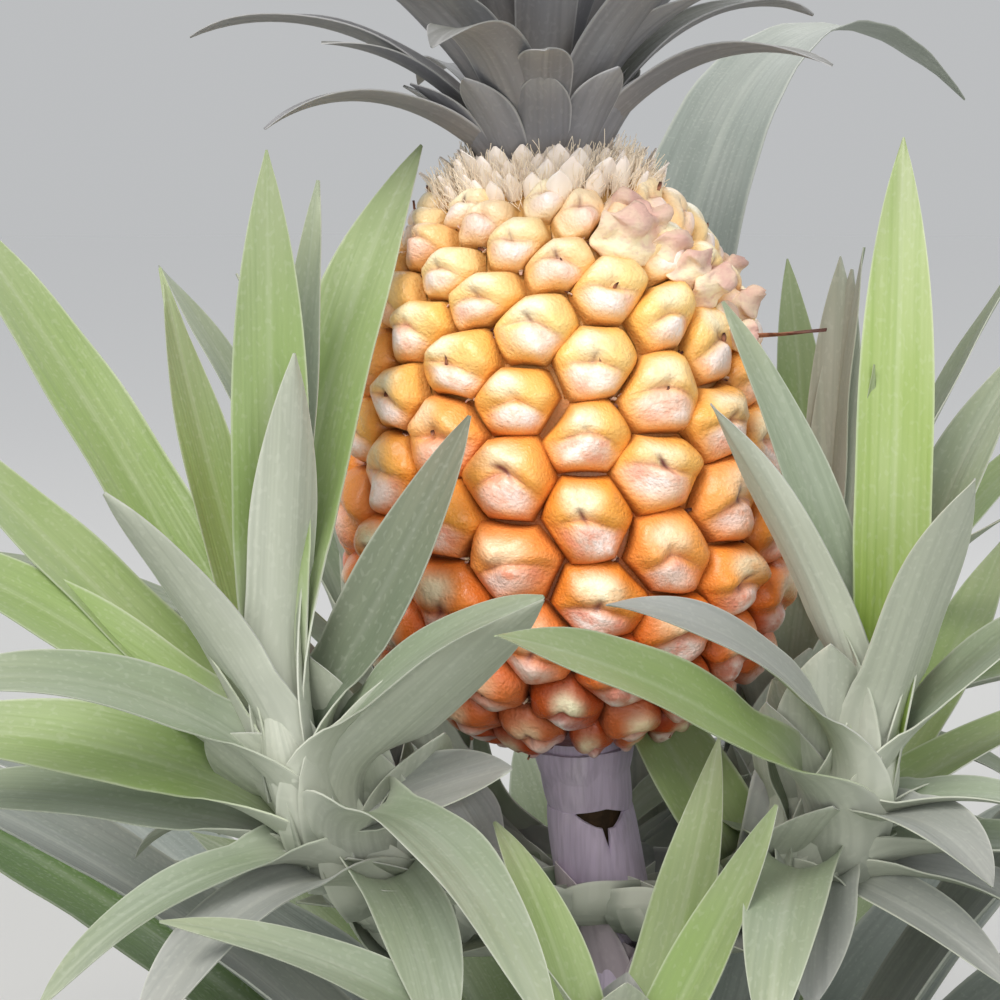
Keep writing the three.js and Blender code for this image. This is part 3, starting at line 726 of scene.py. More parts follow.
# Stalk: a fleshy limb up to the fruit, with short clasping bracts and swollen collars
fruitBase = np.array([-18.0, 0.0, 330.0])
fruitLean = -4.2
fruitAxis = np.array([math.sin(rad(fruitLean)), 0.0, math.cos(rad(fruitLean))])
stalk = {
    "footRadius": 11.5, "topRadius": 12.5, "sides": 40, "steps": 60, "collarRadius": 16,
    "bracts": [
        [300, 186], [60, 190], [180, 194], [340, 214], [120, 218], [20, 236], [200, 240],
        [80, 250], [345, 252], [150, 248], [262, 256], [262, 301], [20, 303], [140, 305],
    ],
    "bractLength": 27, "bractWidth": 19, "bractThickness": 1.6,
    # how a small and a large bract clasp: radius at the sheath's start and how far that lies below the
    # foot, how far the foot and the sheath's inside stand off it, rise, bend, share, spread and steps
    "smallBract": {
        "radius": 11.5, "drop": 4, "footOff": -0.5, "gap": 1, "rise": 82, "bend": -6, "share": 0.4,
        "spread": 62, "steps": 18,
    },
    "largeBract": {
        "radius": 14, "drop": 3, "footOff": 1, "gap": 0.5, "rise": 86, "bend": 8, "share": 0.85,
        "spread": 74, "steps": 26,
    },
    # the large clasping bracts: turn, height of the foot, length, width
    "clasps": [[292, 226, 40, 24], [205, 262, 42, 24], [330, 258, 42, 24]],
    # the collars: how far each stands off, then the heights of its edges at some turns
    "collars": [
        [-1.4, [
            [0, 312.8, 334], [242, 312.8, 334], [252, 313.4, 334], [292, 314.6, 334], [318, 313.2, 334],
            [330, 312.8, 334],
        ]],
        [-1.1, [
            [0, 276, 313], [246, 276, 313], [258, 276, 311.4], [274, 276, 309.8], [283.5, 276, 309.4],
            [287, 276, 301.5], [290.5, 276, 309.2], [300, 276, 309.4], [310, 276, 311], [319, 276, 313],
        ]],
        [0.4, [
            [0, 256, 262], [215, 256, 274], [230, 256, 286], [244, 256, 293], [256, 256, 294.5],
            [268, 256, 291], [280, 256, 282], [300, 256, 270], [330, 256, 262],
        ]],
        [1.6, [
            [0, 236, 262], [60, 236, 270], [190, 236, 262], [236, 236, 268], [256, 236, 275],
            [276, 236, 277], [292, 236, 270], [320, 236, 262],
        ]],
    ],
    "collarSides": 120, "collarRings": 12, "collarWall": 0.9, "collarSwell": 0.9,
    # the shaft is slimmer inside the collars, from one height to the other, and slimmest behind the slit
    "slimming": 2.6, "slimHeights": [252, 272],
    "slitHeights": [298, 318], "slitRadius": 9.6, "slitReach": 10,
    # bracts above this height are covered by a collar
    "bare": 300,
}


def stalkPoint(height):
    foot = np.array([stem["lean"], 0, stem["height"] + clearance])
    top = fruitBase - fruitAxis * clearance
    t = (height - stem["height"]) / (fruitBase[2] - stem["height"])
    return bezier([foot, foot + 50 * up, top - 60 * fruitAxis, top], t)


# A thin closed wall round the stalk between two edges that rise and fall
def growCollar(gap, edges):
    sides, count = stalk["collarSides"], stalk["collarRings"]
    turns = ringShares(sides) * 360
    places, lows, highs = np.array(edges, float).T
    low = np.interp(turns, places, lows, period=360)
    high = np.interp(turns, places, highs, period=360)
    share = shares(count)
    heights = low + (high - low) * share
    # the wall swells in the middle and closes in to its edges
    unevenness = 1 + 0.2 * np.sin(3 * rad(turns) + gap)
    swell = gap + stalk["collarSwell"] * np.sin(np.pi * share) ** 0.5 * unevenness
    outer = []
    for wall in (0, stalk["collarWall"]):
        radius = stalk["topRadius"] + swell - wall
        middles = np.array([[stalkPoint(height) for height in row] for row in heights])
        middles[..., 2] = heights
        outer.append(middles + direction(turns)[None] * radius[..., None])
    rings = np.concatenate([outer[0], outer[1][::-1]])
    number = np.arange(2 * count * sides).reshape(2 * count, sides)
    after = np.roll(number, -1, 1)
    above, afterAbove = np.roll(number, -1, 0), np.roll(after, -1, 0)
    faces = np.stack([number, after, afterAbove, above], -1).reshape(-1, 4)
    return {"points": rings.reshape(-1, 3), "faces": faces, "attributes": {}}


def growBract(turn, height, length, width, kind, chance):
    radius = kind["radius"]
    out = direction(turn)
    base = stalkPoint(height) + out * (radius + kind["footOff"])
    sheath = {
        "start": stalkPoint(height - kind["drop"]) + out * radius, "way": up, "share": kind["share"],
        "radius": radius + kind["gap"], "spread": kind["spread"],
    }
    look = {"thickness": stalk["bractThickness"], "paint": (0, 0)}
    leaf = [turn, kind["rise"], kind["bend"], length, width]
    return growLeaf(leaf, base, kind["steps"], look, chance, sheath)


def makeStalk():
    heights = np.linspace(stem["height"], fruitBase[2], stalk["steps"])
    points = np.array([stalkPoint(height) for height in heights])
    share = shares(stalk["steps"])
    turns = ringShares(stalk["sides"]) * 2 * np.pi
    radii = stalk["footRadius"] + (stalk["topRadius"] - stalk["footRadius"]) * share
    radii = radii + (stalk["collarRadius"] - stalk["topRadius"]) * smoothStep(share, 0.9, 1.0)
    radii = radii + 0.35 * np.sin(7 * turns + 2 * share) + 0.2 * np.sin(11 * turns + 5)
    radii = radii - stalk["slimming"] * smoothStep(heights[:, None], *stalk["slimHeights"])
    behindSlit = np.exp(-((heights[:, None] - np.mean(stalk["slitHeights"])) / stalk["slitReach"]) ** 4)
    radii = radii - (stalk["topRadius"] - stalk["slimming"] - stalk["slitRadius"] + 1) * behindSlit
    shaft = growLimb(points, radii, stalk["sides"])
    makePiece("stalkShaft", [shaft], [stalkMaterial], ["stalk"], 60)
    # a dark ring inside the slit between the collars, painted shade in the recess
    inside = np.array([stalkPoint(height) for height in np.linspace(*stalk["slitHeights"], 4)])
    slit = growLimb(inside, np.full((len(inside), stalk["sides"]), stalk["slitRadius"]), stalk["sides"])
    makePiece("stalkSlitShade", [slit], [slitShade], ["stalk"], 60)
    collars = [growCollar(*collar) for collar in stalk["collars"]]
    makePiece("stalkCollars", collars, [stalkMaterial], ["stalk"], 60)

    chance = random.Random(5)
    size = (stalk["bractLength"], stalk["bractWidth"])
    bracts = [
        growBract(turn, height, *size, stalk["smallBract"], chance)
        for turn, height in stalk["bracts"] if height < stalk["bare"]
    ]
    bracts += [growBract(*clasp, stalk["largeBract"], chance) for clasp in stalk["clasps"]]
    makePiece("stalkBracts", bracts, leafMaterials["bract"], ["stalk"])


makeStalk()


# Slips: leafy shoots under the fruit. Each leaf is turn, rise, bend, length, width, sweep and roll,
# and greens gives how fresh each leaf is, from grey near 0 to yellow green at 1; a leaf under the last limit
# takes a darker paint that is painted shade.
slipStem = {
    # radius of the neck and of the leafy part, from the root to the tip
    "profile": [[0, 6.5], [0.1, 8.5], [0.35, 9.5], [0.6, 10], [0.85, 7], [0.97, 3], [1, 1]],
    "sides": 24, "steps": 40, "leafSteps": 38,
    "sheaths": [0.16, 0.26, 0.36, 0.46], "sheathSpread": 32, "sheathLength": 52, "sheathWidth": 22,
    # more sheaths round the neck: place, turn from the slip's own, length and width
    "wraps": [
        [0.1, 25, 40, 22], [0.2, -25, 44, 22], [0.3, 18, 46, 24], [0.46, 100, 50, 26], [0.5, -100, 52, 26],
        [0.54, 170, 50, 26], [0.56, 20, 60, 26], [0.6, -60, 62, 26],
    ],
    # how steeply the sheaths stand where the neck is level and where it is upright
    "wrapRise": [10, 78],
    # small leaves that hang round the foot of the leafy part
    "skirt": 4, "skirtLength": 88, "skirtWidth": 18,
    "skirtShare": 0.3, "skirtTurn": 20,
    "leafThickness": 1.5, "footSpread": 105, "footDrop": 0.16, "footGain": 0.45,
    # the share of a leaf that clasps the neck: a leaf, a leaf shorter than the limit, and a sheath
    "footShare": 0.26, "shortLeaf": 50, "shortShare": 0.4, "sheathShare": 0.45,
    # how far a foot stands off the neck, at least and how much more from one leaf to the next
    "footGap": [1.0, 2.4],
    # how green a leaf is at least for each of the paints from bright to the darkest, painted shade, and its
    # underside's paint
    "greenLimits": [0.95, 0.7, 0.35, 0.02], "underPaint": 5,
}
slips = {
    "slip_left": {
        "turn": 217, "root": 290, "reach": 102, "gain": 78,
        "leaves": [
            [165, 12, 22, 125, 19, 0, -20], [225, 14, 52, 91, 15], [175, 27, 37, 115, 20, 0, -40],
            [292, 28, 62, 150, 16], [140, 31, 6, 190, 20, 0, -10], [150, 33, 29, 165, 20, 0, -20],
            [330, 43, 2, 86, 20, 0, -40], [195, 46, 59, 100, 17, 0, -30], [135, 48, 14, 215, 20, 0, -10],
            [320, 52, 33, 95, 13, 0, 40], [118, 52, 0, 150, 10], [125, 57, -8, 130, 15],
            [0, 62, -3, 94, 16, 0, 60], [214, 62, 12, 84, 16, 0, 25], [188, 36, -8, 34, 26, 0, 50],
            [60, 81, 39, 151, 20, 0, 10], [64, 83, 7, 126, 12], [92, 88, 0, 128, 17],
            [300, 82, 0, 88, 16],
        ],
        "greens": [
            0.4, 0.4, 0.7, 0.5, 0.9, 0.9, 0.1, 0.35, 0.9, 0.4, 0.7, 0.9, 0.0, 0.1, 0.2, 0.85, 0.6, 0.7, 0.1,
        ],
        # leaves between these: place on the neck, then the leaf, then how green it is
        "between": [[0.67, [336, 30, 10, 54, 22, 0, 30], 0.2]],
    },
    "slip_right": {
        "turn": 321, "root": 290, "reach": 84, "gain": 70,
        "leaves": [
            [220, 0, 20, 26, 14], [310, 2, 30, 62, 18], [260, 5, 40, 60, 18], [350, 12, 30, 100, 20],
            [60, 15, -18, 150, 18], [20, 30, 20, 80, 18], [300, 33, 72, 55, 20], [330, 34, 56, 60, 18],
            [225, 38, 21, 141, 19, 0, -45], [215, 56, 48, 101, 13, 0, -40], [340, 57, 23, 73, 18, 0, 20],
            [290, 68, 12, 86, 17], [200, 71, 19, 100, 13, 0, 30], [110, 76, -21, 93, 8],
            [170, 77, 17, 114, 13, 0, -50], [40, 77, 43, 117, 17], [80, 89, 30, 143, 17],
        ],
        "greens": [0.3, 0.2, 0.3, 0.5, 0.8, 0.7, 0.2, 0.4, 0.8, 0.2, 0.6, 0.1, 0.1, 0.7, 0.5, 0.5, 1.0],
        "between": [[0.35, [150, 56, 4, 74, 24, 0, -20], 0.8]],
    },
    "slip_front": {
        "turn": 260, "root": 232, "reach": 100, "gain": 40,
        "leaves": [
            [260, 15, 40, 100, 18], [225, 20, 45, 95, 18], [300, 20, 45, 95, 18], [340, 30, 40, 90, 16],
            [160, 25, 30, 70, 14], [60, 43, -27, 109, 16], [190, 52, 42, 121, 13, 0, -30],
            [15, 61, -4, 91, 14, 0, 30], [125, 77, 44, 79, 14],
        ],
        "greens": [0.6, 0.5, 0.5, 0.6, 0.4, 0.8, 0.5, 0.8, 0.8],
    },
    "slip_back_right": {"turn": 45, "root": 284, "reach": 98, "gain": 62, "leafCount": 13, "firstTurn": 70},
    "slip_back_left": {"turn": 134, "root": 284, "reach": 98, "gain": 62, "leafCount": 13, "firstTurn": 120},
}


def slipPoint(slip, share):
    middle = stalkPoint(slip["root"])
    out = direction(slip["turn"])
    start = middle + out * (12.5 + 2 * clearance)
    elbow = middle + out * slip["reach"] * 0.88 + 2 * up
    tip = middle + out * slip["reach"] + slip["gain"] * up
    return (1 - share) ** 2 * start + 2 * share * (1 - share) * elbow + share ** 2 * tip


# How the leaves of a slip that the rule fills change from the lowest to the highest
ruledSlip = {
    "rise": [20, 82], "bend": [42, 8], "width": [18, 14], "length": [100, 60],
    # those turned further to the fruit than this stand up, lean away from it and are shorter
    "inward": -0.2, "inwardRise": 88, "inwardBend": -12, "inwardLength": 0.75,
}


# A slip that the rule fills: leaves at the golden angle, from low and arching to upright
def ruledLeaves(slip):
    leaves = []
    for k, share in numbered(slip["leafCount"]):
        turn = slip["firstTurn"] + k * goldenAngle
        outward = math.cos(rad(turn - slip["turn"]))
        least, more = ruledSlip["length"]
        length = least + more * math.sin(math.pi * (0.15 + 0.7 * share))
        rise, bend, width = [between(ruledSlip[part], share) for part in ("rise", "bend", "width")]
        if outward < ruledSlip["inward"]:
            rise, bend = ruledSlip["inwardRise"], ruledSlip["inwardBend"]
            length = length * ruledSlip["inwardLength"]
        else:
            length = length * min(1, 0.6 + 0.6 * outward)
        leaves.append([turn, rise, bend, length, width])
    return leaves


def neckRadius(share):
    return fromProfile(slipStem["profile"], share)


# A leaf of a slip with its foot clasped round the neck. The feet of neighbouring leaves lie at
# different distances, so that none cut through one another.
def slipLeaf(slip, leaf, place, green, chance, footShare, number=0):
    base = slipPoint(slip, place)
    way = slipPoint(slip, place + 0.02) - slipPoint(slip, place - 0.02)
    way /= np.linalg.norm(way)
    out = direction(leaf[0])
    out = out - way * out.dot(way)
    low = place - slipStem["footDrop"]
    radius = float(neckRadius(place))
    start = slipPoint(slip, low) + out / max(0.3, np.linalg.norm(out)) * radius
    least, more = slipStem["footGap"]
    gap = least + more * (number * goldenShare % 1)
    sheath = {
        "start": start, "way": way, "share": footShare, "radius": radius + gap,
        "spread": slipStem["footSpread"],
    }
    paint = (sum(green < limit for limit in slipStem["greenLimits"]), slipStem["underPaint"])
    look = {"thickness": slipStem["leafThickness"], "paint": paint, "footGain": slipStem["footGain"]}
    return growLeaf(leaf, base, slipStem["leafSteps"], look, chance, sheath)


def makeSlip(name, slip, chance):
    share = np.linspace(0, 1, slipStem["steps"])
    points = np.array([slipPoint(slip, s) for s in share])
    radii = neckRadius(share)[:, None] * np.ones(slipStem["sides"])
    label = "".join(word.capitalize() for word in name.split("_")[1:])
    neck = growLimb(points, radii, slipStem["sides"])
    scurf = leafMaterials["slip"][slipStem["underPaint"]:]
    makePiece(f"slipNeck{label}", [neck], scurf, [name], 60)

    batches = []
    wraps = []
    for k, place in enumerate(slipStem["sheaths"]):
        turn = slipStem["sheathSpread"] * (1 if k % 2 else -1)
        wraps.append([place, turn, slipStem["sheathLength"], slipStem["sheathWidth"]])
    wraps += slipStem["wraps"]
    for number, (place, turn, length, width) in enumerate(wraps):
        rise = np.interp(place, (0.15, 0.5), slipStem["wrapRise"])
        leaf = [slip["turn"] + turn, rise, 10, length, width]
        green = chance.uniform(0, 0.4)
        batches.append(slipLeaf(slip, leaf, place, green, chance, slipStem["sheathShare"], number))
    for k in range(slipStem["skirt"]):
        turn = slip["turn"] + k * goldenAngle + slipStem["skirtTurn"]
        outward = math.cos(rad(turn - slip["turn"]))
        length = slipStem["skirtLength"] * (0.85 + 0.25 * outward) * chance.uniform(0.85, 1.1)
        leaf = [turn, chance.uniform(20, 45), chance.uniform(70, 100), length, slipStem["skirtWidth"]]
        green = chance.uniform(0.0, 0.6)
        batches.append(slipLeaf(slip, leaf, 0.5 + 0.01 * k, green, chance, slipStem["skirtShare"], k))
    leaves = slip.get("leaves") or ruledLeaves(slip)
    greens = slip.get("greens") or [chance.uniform(0.3, 0.9) for _ in leaves]
    for number, (leaf, green) in enumerate(zip(leaves, greens)):
        place = 0.55 + 0.42 * min(1, max(0, leaf[1] / 90))
        footShare = slipStem["footShare" if leaf[3] > slipStem["shortLeaf"] else "shortShare"]
        batches.append(slipLeaf(slip, leaf, place, green, chance, footShare, number))
    for place, leaf, green in slip.get("between", []):
        batches.append(slipLeaf(slip, leaf, place, green, chance, slipStem["footShare"]))
    makePiece(f"slipLeaves{label}", batches, leafMaterials["slip"], [name])


slipChance = random.Random(23)
for slipName, slipPlan in slips.items():
    makeSlip(slipName, slipPlan, slipChance)


# Fruit: a spiral of six-sided fleshy eyes, each a domed set of sepals over the thick foot of its bract
fruit = {
    "height": 149, "maxRadius": 56.5,
    "profile": [
        [0, 18], [0.05, 31], [0.12, 43], [0.2, 51.5], [0.3, 56], [0.4, 56.5], [0.55, 54], [0.7, 49.5],
        [0.82, 43.5], [0.92, 36], [1, 25],
    ],
    "firstTurn": 100.4, "eyeTurn": 99.2765, "eyeDrift": 0.0049, "eyeRise": 1.13, "eyeCrowding": 1.1,
    "firstEye": 3, "lastEye": 146, "tilt": 8.6, "tiltTurn": 181.5,
    # each eye touches these next ones up the spiral
    "touching": [7, 11, 18],
    # depths and heights of the skin in millimetres
    "groove": 3.5, "dome": 7.4, "creaseDepth": 1.3, "slitDepth": 0.9, "ridge": 1.7, "pit": 0.9,
    "wander": 0.75, "lumps": 0.45,
    # points of an eye, and how round it is inside its rim
    "perEdge": 6, "rings": 16, "roundness": 1.1, "roundingPower": 2.2, "bluntness": 0.6, "domePower": 0.58,
    # the relief fades from one share of the way to the rim to the other; the painted highlight lies above
    # the middle
    "rimFade": [0.75, 1.0], "crestPlace": 0.42,
    # an eye whose rim lies nearer than this is flatter
    "fullReach": 9,
    # as shares of an eye: width of the crease, width and length of the slit, its place, width of the ridge
    "creaseWidth": 0.12, "slitWidth": 0.13, "slitLength": 0.17, "slitPlace": 0.08, "ridgeWidth": 0.36,
    "coreSides": 72, "coreRings": 60, "coreDepth": 0.6,
}
# What differs by chance from eye to eye, each between two values
eyeChances = {
    "crease": [-0.12, 0.12], "tilt": [-0.2, 0.2], "sag": [0.1, 0.75], "dome": [0.85, 1.12],
    "slant": [-0.9, 0.9], "crestSide": [-0.1, 0.3], "bloomHighlightSide": [-0.3, 0.3], "bloomHighlightDrop": [0.2, 0.42],
    "heightShare": [-0.05, 0.05],
}


def fruitRows():
    rows = []
    height = fruit["firstEye"]
    while height < fruit["lastEye"]:
        rows.append(height)
        height += fruit["eyeRise"] * (straightRadius(height) / fruit["maxRadius"]) ** fruit["eyeCrowding"]
    return rows


def straightRadius(height):
    return fromProfile(fruit["profile"], np.asarray(height) / fruit["height"])


# The profile with its corners rounded off, and its slope
def roundedProfile():
    heights = np.linspace(0, fruit["height"], 300)
    radii = straightRadius(heights)
    window = np.hanning(33)
    padded = np.concatenate([2 * radii[0] - radii[16:0:-1], radii, 2 * radii[-1] - radii[-2:-18:-1]])
    radii = np.convolve(padded, window / window.sum(), "valid")
    return heights, radii, np.gradient(radii, heights)


profileHeights, profileRadii, profileSlopes = roundedProfile()


# Millimetres round the fruit for each degree
def perDegree(height):
    return float(np.interp(height, profileHeights, profileRadii)) * math.pi / 180


def eyeTurn(n):
    return fruit["firstTurn"] + n * fruit["eyeTurn"] + n * n * fruit["eyeDrift"]


def turnTo(n, other):
    angle = eyeTurn(other) - eyeTurn(n)
    return angle - 360 * round(angle / 360)


# No two eyes are alike: the whole lattice wanders a little, the same for both sides of a seam
def wander(turns, levels):
    x, y = rad(turns) * fruit["maxRadius"], levels
    along = np.sin(x / 5.3 + 1.7 * np.sin(y / 9.1)) + 0.7 * np.sin(y / 4.1 + x / 11.0 + 2.0)
    across = np.sin(y / 5.9 + 1.5 * np.sin(x / 8.3)) + 0.7 * np.sin(x / 4.3 - y / 10.0 + 0.5)
    fade = np.sin(np.pi * np.clip(levels / fruit["height"], 0, 1)) ** 0.5 * fruit["wander"]
    return turns + np.degrees(along * fade / fruit["maxRadius"]), levels + across * fade


# Points of the fruit's skin raised by some depth along its normal, in the plant's frame
def skinPoints(turns, levels, depths):
    turns, levels = wander(turns, levels)
    share = np.sin(np.pi * np.clip(levels / fruit["height"], 0, 1))
    heights = levels + fruit["tilt"] * share * np.cos(rad(turns - fruit["tiltTurn"]))
    radii = np.interp(heights, profileHeights, profileRadii)
    slopes = np.interp(heights, profileHeights, profileSlopes)
    size = np.sqrt(1 + slopes ** 2)
    out = direction(turns)
    flat = out * (radii + depths / size)[..., None]
    flat[..., 2] = heights - depths * slopes / size
    return leaned(flat)


def skinPoint(turn, level, depth):
    return skinPoints(np.array([turn]), np.array([float(level)]), np.array([depth]))[0]


def leaned(points):
    angle = rad(fruitLean)
    x = points[..., 0] * math.cos(angle) + points[..., 2] * math.sin(angle)
    z = -points[..., 0] * math.sin(angle) + points[..., 2] * math.cos(angle)
    return np.stack([x, points[..., 1], z], -1) + fruitBase


# The six corners of an eye, as turn from its own and level, each midway between three eyes
def eyeRim(rows, n):
    def level(m):
        if m < 0:
            return 0.0
        return rows[m] if m < len(rows) else fruit["height"]

    def corner(m, first, second):
        height = (level(m) + level(m + first) + level(m + second)) / 3
        turn = turnTo(n, m) + (turnTo(m, m + first) + turnTo(m, m + second)) / 3
        return turn, height

    near, far, furthest = fruit["touching"]

    def left(m):
        return corner(m, near, furthest)

    def right(m):
        return corner(m, far, furthest)

    return np.array([
        left(n), right(n - far), left(n - furthest), right(n - furthest), left(n - near), right(n),
    ])


# The body under the eyes, closed at both ends, which shows only in the seams and under the crown
def fruitCore():
    sides = fruit["coreSides"]
    levels = np.linspace(0, fruit["height"], fruit["coreRings"])
    turns, heights = np.meshgrid(ringShares(sides) * 360, levels)
    rings = skinPoints(turns, heights, -fruit["groove"] - fruit["coreDepth"])
    ends = leaned(np.array([[0.0, 0.0, -2.0], [0.0, 0.0, fruit["height"] + 1.0]]))
    points = np.concatenate([rings.reshape(-1, 3), ends])
    heightShare = np.concatenate([np.repeat(levels / fruit["height"], sides), [0, 1]])
    flat = np.zeros_like(heightShare)
    return {
        "points": points, "faces": tubeFaces(fruit["coreRings"], sides),
        "attributes": {
            "eyePlace": np.stack([flat + 2, flat, flat + 1], -1),
            "eyeShade": np.stack([heightShare, flat, flat + 1], -1),
            "skinPlace": points, "slitPlace": np.ones_like(points),
        },
    }


def makeFruit():
    chance = random.Random(3)

    def deal(what):
        return chance.uniform(*eyeChances[what])

    rows = fruitRows()
    ringPlaces = np.linspace(0, 1, fruit["rings"] + 1)[1:] ** 0.9
    batches = [fruitCore()]
    for n, height in enumerate(rows):
        rim = eyeRim(rows, n)
        around = perDegree(height)
        steps = np.arange(fruit["perEdge"])[:, None] / fruit["perEdge"]
        edge = np.concatenate([rim[k] * (1 - steps) + rim[(k + 1) % 6] * steps for k in range(6)])
        offset = np.stack([edge[:, 0] * around, edge[:, 1] - height], -1)
        middle = offset.mean(0) * 0.35
        offset = offset - middle
        reach = np.linalg.norm(offset, axis=1)
        mean = reach.mean()
        # inner rings are rounder than the rim
        rounding = ringPlaces[:, None] ** fruit["roundingPower"]
        rounder = fruit["bluntness"] * mean / reach + 1 - fruit["bluntness"]
        size = ringPlaces[:, None] * ((1 - rounding) * rounder + rounding)
        place = offset[None] * size[..., None] + middle
        place = np.concatenate([np.broadcast_to(middle, (1, len(edge), 2)), place])
        ringShare = np.concatenate([[0], ringPlaces])[:, None] * np.ones(len(edge))
        radial = np.linalg.norm(place - middle, axis=2) / (fruit["roundness"] * mean)
        rimShare = np.clip(0.4 * ringShare + 0.6 * np.maximum(radial, ringShare), 0, 1)
        half = np.abs(offset).max(0)
        u = (place[..., 0] - middle[0]) / half[0]
        v = (place[..., 1] - middle[1]) / half[1]
        # the crease between sepals and bract sags to both sides
        crease = deal("crease")
        tilt = deal("tilt")
        line = crease + tilt * u - deal("sag") * np.abs(u) ** 1.3
        fromLine = v - line
        dome = fruit["dome"] * deal("dome") * min(1, mean / fruit["fullReach"])
        depth = -fruit["groove"] + dome * (1 - rimShare ** 3) ** fruit["domePower"]
        fade = 1 - smoothStep(rimShare, *fruit["rimFade"])
        fold = bell(fromLine, fruit["creaseWidth"]) * (1 - 0.35 * np.abs(u))
        depth = depth - fade * fruit["creaseDepth"] * fold
        slant = deal("slant")
        slitAlong = fromLine - fruit["slitPlace"]
        slitAcross = u - slant * slitAlong + 0.05
        # where the painted highlight lies, high on the dome
        fromHighlight = np.hypot(u + deal("crestSide"), v - fruit["crestPlace"])
        # where the bloom lies below the crease, partly painted highlight
        fromBloomHighlight = np.hypot(0.9 * (u - deal("bloomHighlightSide")), fromLine + deal("bloomHighlightDrop"))
        slit = bell(slitAcross, fruit["slitWidth"]) * bell(slitAlong, fruit["slitLength"])
        depth = depth - fade * fruit["slitDepth"] * slit
        # the bract falls away on both sides of its ridge
        below = smoothStep(-fromLine, 0.0, 0.2)
        ridge = bell(u, fruit["ridgeWidth"]) - 0.75
        depth = depth + fade * below * fruit["ridge"] * ridge
        # soft lumps, unlike from eye to eye
        x, y = place[..., 0] + 31.0 * n, place[..., 1]
        lumps = np.sin(x / 2.3 + np.sin(y / 1.9)) + np.sin(y / 2.1 + 1.3 * np.sin(x / 2.7))
        depth = depth + fade * fruit["lumps"] * lumps
        # pits where three eyes meet
        corners = np.cos(3 * np.linspace(0, 2 * np.pi, len(edge), endpoint=False)) ** 8
        depth = depth - fruit["pit"] * corners * smoothStep(ringShare, *fruit["rimFade"])
        levels = height + place[..., 1]
        turns = eyeTurn(n) + place[..., 0] / around
        points = skinPoints(turns, np.clip(levels, 0, fruit["height"]), depth)
        ones = np.ones_like(ringShare)
        heightShare = np.clip(levels / fruit["height"] + deal("heightShare"), 0, 1)
        tone = chance.random()
        slitDark = chance.uniform(0.0, 1.0) ** 1.3
        # the skin's pattern is another one on each eye
        patterns = {
            "eyePlace": [fromBloomHighlight, fromLine, rimShare], "eyeShade": [heightShare, tone * ones, fromHighlight],
            "skinPlace": [place[..., 0] + n * 37.0, place[..., 1] + n * 11.0, depth],
            "slitPlace": [slitAcross, slitAlong, slitDark * ones],
        }
        batches.append({
            "points": points.reshape(-1, 3), "faces": ringFaces(*ringShare.shape)[:, ::-1],
            "attributes": {
                label: np.stack(parts, -1).reshape(-1, 3) for label, parts in patterns.items()
            },
        })
    makePiece("fruitEyes", batches, [rindMaterial], ["fruit"], 180)


makeFruit()


# Withered tips of the bracts, the large crumpled ones on one shoulder, and scraps where eyes meet
bractTips = {
    "length": 2.4, "scrapLength": 2.0, "tipShare": 0.4, "scrapShare": 0.6, "scraps": 3, "tipDrop": 1.2,
    "petalSides": 36, "petalRings": 24, "petalThickness": 6.5, "petalBend": 30, "crumple": 1.6,
    # turn, level, length, width, rise and swing of the large ones
    "petals": [
        [299, 129, 15, 18, 90, 0], [302, 139, 8, 9, 84, -20], [307, 137, 8, 8, 70, 20],
        [310, 134, 10, 11, 74, 30], [315, 129, 10, 12, 74, 20], [320, 124, 11, 13, 70, 10],
        [326, 119, 12, 14, 66, 10], [333, 111, 10, 10, 24, -10], [330, 114, 7, 6, 50, 30],
        [347, 115, 11, 13, 64, 0], [3, 121, 10, 12, 68, 10], [20, 118, 9, 11, 66, -10],
    ],
    "spike": [334, 111, 24, 4, 5, -6],
}


# A plump crumpled petal that stands up from an eye, hollow along its middle
def growPetal(turn, level, length, width, rise, swing, chance):
    sides, count = bractTips["petalSides"], bractTips["petalRings"]
    base = skinPoint(turn, level, -2.0)
    out = direction(turn + swing)
    side = np.array([-out[1], out[0], 0.0])
    share = shares(count)
    pitch = rad(rise - bractTips["petalBend"] * share)
    heading = out * np.cos(pitch) + up * np.sin(pitch)
    middle = base + np.concatenate([np.zeros((1, 3)), np.cumsum(heading[:-1], 0)]) * length / (count - 1)
    normal = np.cross(heading, side)
    angle = ringShares(sides) * 2 * np.pi
    # a full shape with a blunt end
    full = np.clip(np.sin(np.pi * np.clip(0.12 + 0.86 * share, 0, 1)) ** 0.55, 0.04, 1)
    acrossShare = np.cos(angle) * full
    lift = 0.2 * width * acrossShare ** 2 + bractTips["petalThickness"] / 2 * np.sin(angle) * full
    sideways = side * (acrossShare * width / 2)[..., None]
    rings = middle[:, None] + sideways + normal[:, None] * lift[..., None]
    place = rings * 0.36 + chance.uniform(0, 20)
    place = place + 0.7 * np.sin(place[..., [2, 0, 1]] * 1.3)
    waves = 0.5 - np.abs(np.sin(place[..., [1, 2, 0]])) + 0.4 * np.sin(2.1 * place[..., [2, 0, 1]] + 1.3)
    rings = rings + bractTips["crumple"] * waves * smoothStep(share, 0.05, 0.4)[..., None]
    faces = tubeFaces(count, sides)[:, ::-1]
    points = np.concatenate([rings.reshape(-1, 3), rings[[0, -1]].mean(1)])
    along = np.append(np.repeat(share[:, 0], sides), [0, 1])
    edge = np.append(np.tile(np.abs(np.cos(angle)), count), [0.5, 0.5])
    return {
        "points": points, "faces": faces, "paint": np.zeros(len(faces)),
        "attributes": {"leafPlace": points * 0.5, "along": along, "across": edge},
    }


